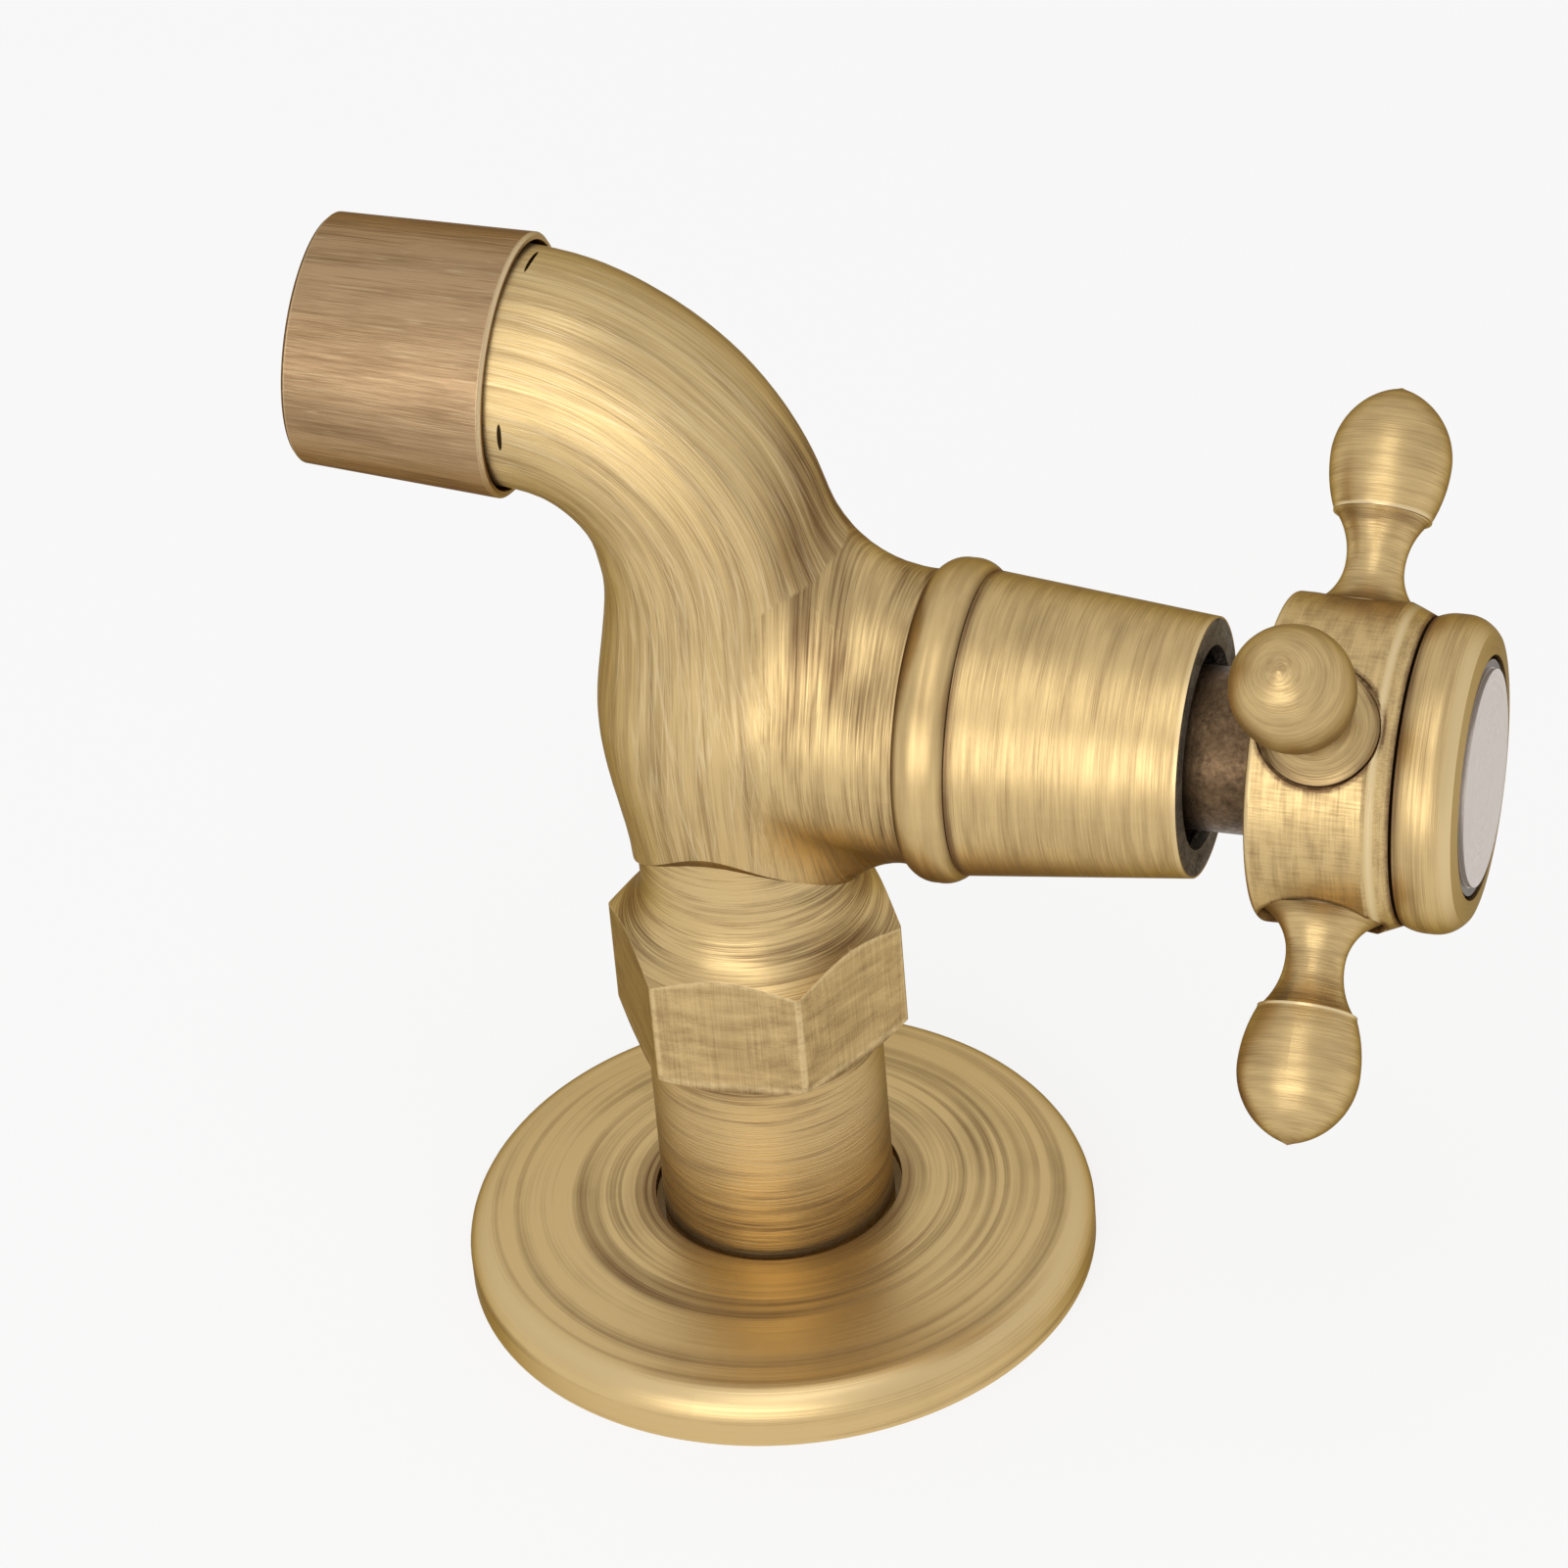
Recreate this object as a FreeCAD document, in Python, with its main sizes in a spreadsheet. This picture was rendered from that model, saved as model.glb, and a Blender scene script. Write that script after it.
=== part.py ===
import FreeCAD, Part
import math
import os
import Sketcher

# Wall-mounted faucet with a quarter-turn cross handle, in millimetres.
# Frame: the origin is on the inlet axis in the wall plane. -Y comes out of the wall, +Z is up along
# the valve tower, and +X is to the right of someone who faces the wall.

DOCUMENT = FreeCAD.newDocument("wall_faucet")
SHEET = DOCUMENT.addObject("Spreadsheet::Sheet", "sizes")
WHOLE_TURN = 360
HALF_TURN = 180
UPRIGHT = 90
HEXAGON_SIDES = 6
HEXAGON_STEP = WHOLE_TURN / HEXAGON_SIDES
CROSS_ARMS = 4
AERATOR_SCREENS = 2

# Driving dimensions: name, value in millimetres or degrees, meaning.
DRIVING_SIZES = [
    ("thread_radius", 10.478, "G1/2 inlet thread, major radius"),
    ("thread_depth", 13.0, "inlet thread behind the wall plane"),
    ("thread_front", 4.5, "inlet thread in front of the wall plane, under the flange"),
    ("thread_lead", 1.0, "bevel on the first thread"),
    ("shank_radius", 11.0, "smooth shank between thread and hexagon"),
    ("inlet_bore", 6.5, "radius of the inlet waterway"),
    ("inlet_bore_stop", 14.0, "inlet waterway stops this far before the tower axis"),
    ("hex_length", 18.0, "spanner hexagon with its cove"),
    ("hex_flats", 24.3, "spanner hexagon across flats"),
    ("hex_turn", 3.0, "turn of the hexagon about the inlet axis, degrees"),
    ("hex_edge", 0.6, "rounding of the hexagon's edges"),
    ("hex_bevel_radius", 12.3, "radius of the bevelled near face of the hexagon"),
    ("hex_bevel", 0.75, "height of that bevel"),
    ("neck_radius", 10.1, "neck radius"),
    ("neck_end", 10.0, "the neck runs into the body up to here, before the tower axis"),
    ("neck_flare", 0.5, "the neck widens by this much"),
    ("neck_skin", 0.3, "the body's underside overhangs the neck by this much"),
    ("cove_radius", 7.5, "hollow curve between neck and hexagon"),
    ("bulb_radius", 12.35, "widest part of the bulb"),
    ("belly_radius", 12.9, "round underside of the body, across the tower"),
    ("belly_drop", 4.2, "axis of that underside, before the tower axis"),
    ("waist_radius", 11.0, "waist between bulb and spout"),
    ("waist_rise", 0.4, "the waist leans towards the tower by this much"),
    ("waist_past_tower", 13.0, "waist, past the tower axis"),
    ("bend_past_waist", 2.1, "start of the spout's bend, past the waist"),
    ("bend_radius", 18.7, "radius of the spout's centreline"),
    ("bend_angle", 87.0, "turn of the spout, degrees"),
    ("throat_radius", 10.5, "spout radius in the bend"),
    ("spout_end_radius", 10.8, "spout radius at its end"),
    ("spout_bore", 7.4, "radius of the spout's waterway"),
    ("port_radius", 5.2, "port from the valve chamber to the spout"),
    ("port_height", 5.0, "port centre above the inlet axis"),
    ("spigot_radius", 10.0, "threaded spigot at the spout's end"),
    ("spigot_length", 9.0, "length of that spigot"),
    ("tower_reach", 64.0, "tower axis from the wall"),
    ("neck_to_tower", 18.5, "tower axis past the start of the neck"),
    ("tower_root", -1.0, "foot of the tower's outside"),
    ("tower_root_radius", 12.0, "tower radius at its foot"),
    ("tower_top", 18.6, "tower mouth above the inlet axis"),
    ("tower_radius", 13.4, "tower radius at its mouth"),
    ("tower_blend", 13.0, "blend between tower and bulb"),
    ("seat_height", -1.0, "valve seat above the inlet axis"),
    ("seat_bore", 5.0, "radius of the hole through the seat"),
    ("seat_wall", 3.0, "thickness of the seat wall"),
    ("duct_height", 4.6, "height of the inlet duct under the seat"),
    ("duct_width", 8.0, "width of that duct"),
    ("chamber_radius", 9.6, "valve chamber"),
    ("chamber_top", 8.5, "top of the valve chamber"),
    ("counterbore_radius", 11.4, "recess for the headwork's seal"),
    ("counterbore_depth", 3.0, "depth of that recess"),
    ("fit_gap", 0.05, "radial clearance of a fit"),
    ("slack", 0.4, "clearance between pieces that pass each other"),
    ("overrun", 2.0, "cutters run past the surface by this much"),
    ("flange_radius", 29.9, "wall flange"),
    ("flange_hole", 11.75, "radius of the hole in the wall flange"),
    ("flange_height", 7.1, "wall flange at its hole"),
    ("flange_skirt", 2.6, "upright rim of the wall flange"),
    ("flange_shoulder", 3.2, "rounding of the wall flange's rim"),
    ("flange_shoulder_drop", 5.4, "height of the flange face beside the rounding"),
    ("flange_dome", 90.0, "curve of the flange's face"),
    ("sheet_thickness", 1.2, "sheet of the wall flange"),
    ("bead_radius", 14.7, "bead round the shroud"),
    ("bead_height", 4.9, "height of that bead"),
    ("bead_curve", 2.6, "rounding of the bead"),
    ("bead_foot", 13.6, "radius at the bead's two edges"),
    ("cone_foot_radius", 13.8, "shroud cone above the bead"),
    ("cone_top_radius", 11.75, "shroud radius at its top"),
    ("shroud_web", 2.0, "web clamped under the headwork"),
    ("shroud_web_hole", 11.15, "hole in that web"),
    ("shroud_wall", 1.3, "wall of the shroud"),
    ("shroud_mouth", 9.2, "radius of the shroud's upper hole"),
    ("shroud_lip", 1.2, "thickness of the shroud's upper lip"),
    ("cage_radius", 8.7, "headwork cage, outside"),
    ("disc_radius", 7.5, "ceramic discs"),
    ("disc_height", 3.2, "thickness of one ceramic disc"),
    ("disc_hub", 1.6, "centre of a disc's openings"),
    ("disc_port", 6.3, "outer radius of a disc's openings"),
    ("port_half_angle", 38.0, "half the angle of a disc's opening, degrees"),
    ("seat_seal_height", 2.2, "rubber seal under the discs"),
    ("cage_lift", 1.0, "cage clears the valve seat"),
    ("cage_window", 8.0, "width of the cage's side windows"),
    ("cage_window_height", 3.6, "height of the cage's side windows"),
    ("headwork_thread", 10.45, "headwork thread in the tower, radius"),
    ("relief_radius", 9.3, "relief above that thread"),
    ("seal_section", 1.0, "radius of the headwork seal's round section"),
    ("collar_radius", 10.95, "headwork collar in the shroud's web"),
    ("collar_flange", 12.1, "headwork flange that clamps the shroud"),
    ("collar_flange_height", 2.2, "thickness of that flange"),
    ("nut_flats", 18.0, "headwork hexagon across flats"),
    ("nut_height", 7.0, "height of the headwork hexagon"),
    ("gland_radius", 6.6, "headwork neck above its hexagon"),
    ("gland_height", 4.2, "height of that neck"),
    ("foot_height", 2.6, "driving foot of the spindle"),
    ("foot_radius", 6.9, "radius of that foot"),
    ("tongue_width", 3.6, "tongue that turns the upper disc"),
    ("tongue_length", 10.0, "length of that tongue"),
    ("tongue_depth", 1.4, "depth of that tongue"),
    ("spindle_radius", 4.8, "spindle in the headwork"),
    ("spindle_tip", 4.0, "splined end of the spindle"),
    ("spindle_drop", 0.7, "top of the spindle below the hub"),
    ("ring_section", 0.9, "radius of the spindle rings' round section"),
    ("ring_groove", 2.2, "width of the spindle's grooves"),
    ("ring_rise", 7.3, "lower spindle ring above the thrust washer"),
    ("ring_drop", 7.5, "upper spindle ring below the headwork's top"),
    ("washer_height", 1.0, "thrust washer"),
    ("clip_radius", 6.2, "circlip, outside"),
    ("clip_root", 3.4, "circlip groove, radius"),
    ("clip_height", 0.9, "circlip"),
    ("clip_gap", 3.0, "gap in the circlip"),
    ("stem_radius", 7.4, "dark stem under the handle"),
    ("stem_clearance", 3.05, "that stem clears the circlip"),
    ("stem_boss", 5.6, "boss of the stem inside the hub"),
    ("hub_radius", 14.75, "handle hub"),
    ("handle_gap", 6.7, "hub above the shroud"),
    ("hub_height", 12.7, "height of the hub"),
    ("hub_edge", 0.5, "rounding of the hub's lower edge"),
    ("hub_bevel", 2.3, "height of the hub's upper bevel"),
    ("hub_bevel_inset", 1.0, "inset of that bevel"),
    ("stem_seat", 1.4, "stem is let into the hub by this much"),
    ("hub_web", 1.6, "web under the handle screw"),
    ("hub_well", 10.6, "recess above that web, radius"),
    ("hub_well_depth", 2.8, "depth of that recess"),
    ("screw_radius", 2.0, "M4 handle screw"),
    ("screw_head", 3.6, "its head, radius"),
    ("screw_head_height", 2.2, "its head, height"),
    ("screw_depth", 7.0, "its length in the spindle"),
    ("screw_socket", 2.5, "hexagon socket in its head, across flats"),
    ("screw_socket_depth", 1.4, "depth of that socket"),
    ("lock_washer", 4.4, "washer under the screw head, radius"),
    ("lock_washer_height", 0.6, "thickness of that washer"),
    ("arm_height", 56.6, "axis of the handle's arms above the inlet axis"),
    ("arm_lift", 5.9, "axis of the arms above the hub's lower face"),
    ("arm_turn", 41.0, "first arm of the closed handle, from +X towards +Y, degrees"),
    ("arm_tip", 34.6, "tip of an arm from the tower axis"),
    ("arm_tip_radius", 0.6, "blunted tip"),
    ("arm_ball_radius", 5.45, "ball of an arm"),
    ("arm_ball_reach", 27.8, "widest part of the ball"),
    ("arm_collar_reach", 22.6, "turned ridge under the ball"),
    ("arm_collar_radius", 4.45, "radius of that ridge"),
    ("arm_ridge", 0.25, "width and step of that ridge"),
    ("arm_neck_radius", 2.65, "thinnest part of an arm"),
    ("arm_neck_reach", 18.1, "place of the thinnest part"),
    ("arm_neck_curve", 6.8, "curve from neck to ridge"),
    ("arm_foot_radius", 5.3, "foot of an arm"),
    ("arm_foot_reach", 13.2, "foot of an arm, in its socket"),
    ("arm_foot_edge", 0.6, "upright edge of that foot"),
    ("arm_foot_curve", 4.8, "curve from foot to neck"),
    ("arm_stud", 2.5, "threaded stud of an arm, radius"),
    ("arm_stud_length", 5.6, "length of that stud"),
    ("socket_radius", 5.65, "socket for an arm's foot"),
    ("cap_gap", 0.3, "dark joint between hub and cap"),
    ("cap_height", 5.3, "height of the cap"),
    ("cap_root", 13.8, "cap radius beside the hub"),
    ("cap_radius", 14.2, "cap radius"),
    ("cap_round", 1.8, "rise of the cap's lower rounding"),
    ("cap_wall", 0.7, "upright stretch of the cap"),
    ("cap_face_radius", 12.9, "outer edge of the cap's face"),
    ("cap_face_drop", 0.25, "the cap's face falls by this much towards its edge"),
    ("cap_spigot", 10.5, "threaded spigot of the cap"),
    ("cap_spigot_depth", 1.6, "length of that spigot"),
    ("cap_spigot_wall", 1.7, "wall of that spigot"),
    ("cap_floor_depth", 2.4, "underside of the cap's floor, below its face"),
    ("index_recess", 10.9, "recess for the index plate"),
    ("index_depth", 0.9, "depth of that recess"),
    ("index_radius", 9.7, "raised face of the index plate"),
    ("index_height", 1.15, "thickness of the index plate"),
    ("index_rim", 10.5, "rim of the index plate"),
    ("index_rim_height", 0.7, "thickness of that rim"),
    ("sleeve_back", 0.8, "nozzle sleeve laps over the spout's end"),
    ("sleeve_length", 18.6, "nozzle sleeve"),
    ("sleeve_back_radius", 11.9, "nozzle sleeve at its back rim"),
    ("sleeve_front_radius", 11.3, "nozzle sleeve at the outlet"),
    ("sleeve_edge", 0.3, "bevel on the sleeve's rims"),
    ("sleeve_lap_bore", 11.25, "sleeve bore over the spout's end"),
    ("sleeve_lap", 1.0, "end of that bore past the spout's end"),
    ("outlet_washer_height", 1.8, "rubber washer above the aerator"),
    ("outlet_bore", 9.0, "outlet hole of the sleeve"),
    ("aerator_flange_height", 1.3, "flange of the aerator housing"),
    ("aerator_wall", 1.0, "wall of the aerator housing"),
    ("aerator_inset", 0.6, "housing stays inside the sleeve's end"),
    ("screen_height", 0.5, "one woven screen"),
    ("screen_spacing", 1.1, "pitch of the stacked screens"),
    ("jet_plate_height", 1.4, "plate with the aerator's jets"),
    ("jet_radius", 0.7, "one jet"),
    ("jet_ring", 5.4, "ring of jets"),
    ("jet_count", 12.0, "jets in the ring"),
]


class Size:
    """A number together with the sheet formula it comes from."""

    def __init__(self, value, formula):
        self.value = value
        self.formula = formula

    def __add__(self, other):
        return combine(self, "+", other)

    def __radd__(self, other):
        return combine(other, "+", self)

    def __sub__(self, other):
        return combine(self, "-", other)

    def __rsub__(self, other):
        return combine(other, "-", self)

    def __mul__(self, other):
        return combine(self, "*", other)

    def __rmul__(self, other):
        return combine(other, "*", self)

    def __truediv__(self, other):
        return combine(self, "/", other)

    def __neg__(self):
        return combine(0, "-", self)


def as_size(item):
    if isinstance(item, Size):
        return item
    return Size(float(item), repr(float(item)))


def combine(left, sign, right):
    left = as_size(left)
    right = as_size(right)
    results = {
        "+": lambda: left.value + right.value,
        "-": lambda: left.value - right.value,
        "*": lambda: left.value * right.value,
        "/": lambda: left.value / right.value,
    }
    return Size(results[sign](), f"({left.formula} {sign} {right.formula})")


def sine(angle):
    angle = as_size(angle)
    return Size(math.sin(math.radians(angle.value)), f"sin({angle.formula})")


def cosine(angle):
    angle = as_size(angle)
    return Size(math.cos(math.radians(angle.value)), f"cos({angle.formula})")


class SizeBook:
    """Every driving dimension as an attribute, kept in the sheet."""

    def __init__(self, sheet, rows):
        for number, (name, value, meaning) in enumerate(rows, start=1):
            sheet.set(f"A{number}", meaning)
            sheet.set(f"B{number}", str(value))
            sheet.setAlias(f"B{number}", name)
            setattr(self, name, Size(value, f"{sheet.Name}.{name}"))


D = SizeBook(SHEET, DRIVING_SIZES)
DOCUMENT.recompute()


class Curve:
    """Makes the side after a corner an arc, which bends to the left unless right is set."""

    def __init__(self, radius, right=False):
        self.radius = as_size(radius)
        self.right = right


def new_body(label):
    body = DOCUMENT.addObject("PartDesign::Body", label)
    body.Label = label
    return body


def origin_feature(body, role):
    return [item for item in body.Origin.OriginFeatures if item.Role == role][0]


def bind_place(item, prefix, base, turn_x=0):
    """Bind a placement's base point and its turn about X to the sheet."""
    placement = FreeCAD.Placement()
    placement.Rotation = FreeCAD.Rotation(FreeCAD.Vector(1, 0, 0), as_size(turn_x).value)
    setattr(item, prefix, placement)
    for letter, part in zip("xyz", base):
        item.setExpression(f"{prefix}.Base.{letter}", as_size(part).formula)
    if isinstance(turn_x, Size):
        item.setExpression(f"{prefix}.Rotation.Angle", turn_x.formula)


def new_sketch(body, name, role, base=(0, 0, 0), turn_x=0):
    sketch = body.newObject("Sketcher::SketchObject", name)
    sketch.AttachmentSupport = (origin_feature(body, role), [""])
    sketch.MapMode = "FlatFace"
    bind_place(sketch, "AttachmentOffset", base, turn_x)
    return sketch


def point(pair):
    return FreeCAD.Vector(as_size(pair[0]).value, as_size(pair[1]).value, 0)


def arc_between(start, end, curve):
    """The short arc from start to end; the sketcher stores it counter-clockwise."""
    chord = end - start
    half = chord.Length / 2
    left = FreeCAD.Vector(-chord.y, chord.x, 0).normalize()
    sagitta_side = -1 if curve.right else 1
    rise = math.sqrt(max(curve.radius.value ** 2 - half ** 2, 0))
    centre = (start + end) * 0.5 + left * (rise * sagitta_side)
    circle = Part.Circle(centre, FreeCAD.Vector(0, 0, 1), curve.radius.value)
    first, last = (end, start) if curve.right else (start, end)
    angles = [math.atan2(spot.y - centre.y, spot.x - centre.x) for spot in (first, last)]
    return Part.ArcOfCircle(circle, angles[0], angles[1])


def draw_outline(sketch, outline):
    """Draw one closed outline whose every corner and radius is bound to the sheet."""
    corners = []
    curves = []
    for item in outline:
        if isinstance(item, Curve):
            curves[-1] = item
        else:
            corners.append(item)
            curves.append(None)
    sides = []
    for number, corner in enumerate(corners):
        start = point(corner)
        end = point(corners[(number + 1) % len(corners)])
        curve = curves[number]
        if curve is None:
            side = sketch.addGeometry(Part.LineSegment(start, end), False)
            sides.append((side, 1, 2))
        else:
            side = sketch.addGeometry(arc_between(start, end, curve), False)
            sides.append((side, 2, 1) if curve.right else (side, 1, 2))
            number = sketch.addConstraint(Sketcher.Constraint("Radius", side, curve.radius.value))
            sketch.setExpression(f"Constraints[{number}]", curve.radius.formula)
    for here, following in zip(sides, sides[1:] + sides[:1]):
        join = Sketcher.Constraint("Coincident", here[0], here[2], following[0], following[1])
        sketch.addConstraint(join)
    for corner, side in zip(corners, sides):
        for kind, part in zip(("DistanceX", "DistanceY"), corner):
            part = as_size(part)
            bond = Sketcher.Constraint(kind, -1, 1, side[0], side[1], part.value)
            number = sketch.addConstraint(bond)
            sketch.setExpression(f"Constraints[{number}]", part.formula)


def draw_circle(sketch, radius, centre=(0, 0)):
    circle = Part.Circle(point(centre), FreeCAD.Vector(0, 0, 1), as_size(radius).value)
    side = sketch.addGeometry(circle, False)
    number = sketch.addConstraint(Sketcher.Constraint("Radius", side, as_size(radius).value))
    sketch.setExpression(f"Constraints[{number}]", as_size(radius).formula)
    for kind, part in zip(("DistanceX", "DistanceY"), centre):
        part = as_size(part)
        number = sketch.addConstraint(Sketcher.Constraint(kind, -1, 1, side, 3, part.value))
        sketch.setExpression(f"Constraints[{number}]", part.formula)


def box_outline(left, low, right, high):
    return [(left, low), (right, low), (right, high), (left, high)]


def add_feature(body, kind, name, sketch):
    feature = body.newObject(f"PartDesign::{kind}", name)
    feature.Profile = sketch
    return feature


def spin(body, name, outline, kind="Revolution", role="XZ_Plane", base=(0, 0, 0), turn_x=0):
    """Turn an outline of (radius, height) corners about the sketch's upright axis."""
    sketch = new_sketch(body, f"{name}_outline", role, base, turn_x)
    draw_outline(sketch, outline)
    feature = add_feature(body, kind, name, sketch)
    feature.ReferenceAxis = (sketch, ["V_Axis"])
    feature.Angle = WHOLE_TURN
    return feature


def extrude(body, name, outlines, length, kind="Pad", role="XY_Plane", base=(0, 0, 0), flip=False):
    sketch = new_sketch(body, f"{name}_outline", role, base)
    for outline in outlines:
        if callable(outline):
            outline(sketch)
        else:
            draw_outline(sketch, outline)
    feature = add_feature(body, kind, name, sketch)
    feature.setExpression("Length", as_size(length).formula)
    feature.Reversed = flip
    return feature


def loft(body, name, stations, kind):
    """Skin round sections; a station is (height, distance from the wall, turn, radius)."""
    sections = []
    for number, (height, reach, turn, radius) in enumerate(stations, start=1):
        section = new_sketch(body, f"{name}_section_{number}", "XY_Plane", (0, height, reach), turn)
        draw_circle(section, radius)
        sections.append(section)
    feature = add_feature(body, kind, name, sections[0])
    feature.Sections = sections[1:]
    return feature


def round_edges(body, name, base, wanted, radius):
    DOCUMENT.recompute()
    shape = base.Shape
    names = [f"Edge{number}" for number, edge in enumerate(shape.Edges, start=1) if wanted(shape, edge)]
    fillet = body.newObject("PartDesign::Fillet", name)
    fillet.Base = (base, names)
    fillet.setExpression("Radius", radius.formula)
    return fillet


def hexagon(flats, turn=0):
    corner = flats / 2 / cosine(HEXAGON_STEP / 2)
    turns = [turn + HEXAGON_STEP * side for side in range(HEXAGON_SIDES)]
    return [(corner * cosine(angle), corner * sine(angle)) for angle in turns]


def on_inlet(body):
    """Local Z runs out of the wall along the inlet axis, local Y is up."""
    bind_place(body, "Placement", (0, 0, 0), UPRIGHT)


def on_tower(body):
    bind_place(body, "Placement", (0, -D.tower_reach, 0))


def on_outlet(body):
    """Local Z leaves the spout's end along its axis."""
    bind_place(body, "Placement", (0, -SPOUT_END_REACH, SPOUT_END_HEIGHT), UPRIGHT + D.bend_angle)


def turned(label, place, outline):
    body = new_body(label)
    spin(body, label + "_turned", outline)
    place(body)
    return body


def ring(label, place, inner, outer, low, high):
    return turned(label, place, box_outline(inner, low, outer, high))


# Derived places used by several pieces.
NECK_START = D.tower_reach - D.neck_to_tower
HEX_START = NECK_START - D.hex_length
INLET_BORE_END = D.tower_reach - D.inlet_bore_stop
WAIST_REACH = D.tower_reach + D.waist_past_tower
BEND_START = WAIST_REACH + D.bend_past_waist
SPOUT_END_REACH = BEND_START + D.bend_radius * sine(D.bend_angle)
SPOUT_END_HEIGHT = -D.bend_radius * (1 - cosine(D.bend_angle))
CAGE_LOW = D.seat_height + D.cage_lift
FIXED_DISC_LOW = D.seat_height + D.seat_seal_height
MOVING_DISC_LOW = FIXED_DISC_LOW + D.disc_height
FOOT_LOW = MOVING_DISC_LOW + D.disc_height
WASHER_LOW = FOOT_LOW + D.foot_height
CEILING = WASHER_LOW + D.washer_height
SEAL_LOW = D.tower_top - D.counterbore_depth
RELIEF_TOP = SEAL_LOW + 2 * D.seal_section
WEB_TOP = D.tower_top + D.shroud_web
NUT_LOW = WEB_TOP + D.collar_flange_height
GLAND_LOW = NUT_LOW + D.nut_height
GLAND_TOP = GLAND_LOW + D.gland_height
CLIP_LOW = GLAND_TOP + D.fit_gap
RING_LOW = CEILING + D.ring_rise
RING_HIGH = GLAND_TOP - D.ring_drop
STEM_LOW = CLIP_LOW + D.clip_height + D.stem_clearance
HUB_LOW = D.arm_height - D.arm_lift
SPINDLE_TOP = HUB_LOW - D.spindle_drop
CONE_TOP = HUB_LOW - D.handle_gap
HUB_HIGH = HUB_LOW + D.hub_height
HUB_WEB_HIGH = HUB_HIGH - D.hub_well_depth
HUB_WEB_LOW = HUB_WEB_HIGH - D.hub_web
CAP_LOW = HUB_HIGH + D.cap_gap
CAP_HIGH = CAP_LOW + D.cap_height
SLEEVE_FRONT = D.sleeve_length - D.sleeve_back
AERATOR_LOW = D.spigot_length + D.outlet_washer_height
AERATOR_STEP = AERATOR_LOW + D.aerator_flange_height
AERATOR_RADIUS = D.outlet_bore - D.fit_gap
AERATOR_BORE = AERATOR_RADIUS - D.aerator_wall
AERATOR_FRONT = SLEEVE_FRONT - D.aerator_inset


# Share of the way from neck to tower axis, and share of the bulb's swelling there.
BULB_SHARES = [(0, 0), (0.25, 0.2), (0.6, 0.72), (1, 1)]
# Share of the spout's bend, and share of the narrowing from waist to throat there.
BEND_SHARES = [(0.15, 0.5), (0.3, 0.9), (0.45, 1), (0.6, 1), (0.75, 0.8), (0.88, 0.5)]
PASSAGE_SHARES = [0.3, 0.55, 0.8, 1]
HALF_SHARE = 0.5
NEARLY_ALL_SHARE = 0.99


def easing(run, step):
    """Radius of an arc that starts along the run and ends a step beside it."""
    return (run * run + step * step) / (2 * step)


def along_bend(share, radius):
    """A spout section at a share of the bend."""
    turn = D.bend_angle * share
    height = -D.bend_radius * (1 - cosine(turn))
    reach = BEND_START + D.bend_radius * sine(turn)
    return (height, reach, turn, radius)


def between(start, end, share):
    return start + (end - start) * share


def touches_tower_and_casting(shape, edge):
    kinds = {face.Surface.TypeId for face in shape.ancestorsOfType(edge, Part.Face)}
    return kinds == {"Part::GeomCone", "Part::GeomBSplineSurface"}


def runs_along_inlet(shape, edge):
    direction = edge.tangentAt(edge.FirstParameter)
    return edge.Curve.TypeId == "Part::GeomLine" and abs(direction.z) > NEARLY_ALL_SHARE


def turn_inlet(body):
    """Neck, hexagon with its cove, shank and thread."""
    tread = D.thread_radius - D.thread_lead
    hex_corner = D.hex_flats / cosine(HEXAGON_STEP / 2) / 2
    outline = hexagon(D.hex_flats, HEXAGON_STEP / 2 + D.hex_turn)
    cove_low = NECK_START - D.cove_radius
    outside = D.neck_radius + D.cove_radius
    neck_end = D.tower_reach - D.neck_end
    spin(body, "neck", [
        (0, cove_low), (D.neck_radius, cove_low), (D.neck_radius, NECK_START),
        Curve(easing(neck_end - NECK_START, D.neck_flare), right=True), (D.neck_radius + D.neck_flare, neck_end),
        (0, neck_end)])
    hexagon_pad = extrude(body, "hexagon", [outline], D.hex_length, base=(0, 0, HEX_START))
    round_edges(body, "hexagon_edges", hexagon_pad, runs_along_inlet, D.hex_edge)
    spin(body, "cove", [(D.neck_radius, NECK_START), Curve(D.cove_radius), (outside, cove_low),
                        (outside, NECK_START)], "Groove")
    spin(body, "hexagon_bevel", [(D.hex_bevel_radius, HEX_START), (hex_corner, HEX_START),
                                 (hex_corner, HEX_START + D.hex_bevel)], "Groove")
    spin(body, "shank", [(0, -D.thread_depth), (tread, -D.thread_depth),
                         (D.thread_radius, D.thread_lead - D.thread_depth),
                         (D.thread_radius, D.thread_front), (D.shank_radius, D.thread_front),
                         (D.shank_radius, HEX_START + D.overrun), (0, HEX_START + D.overrun)])


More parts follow.
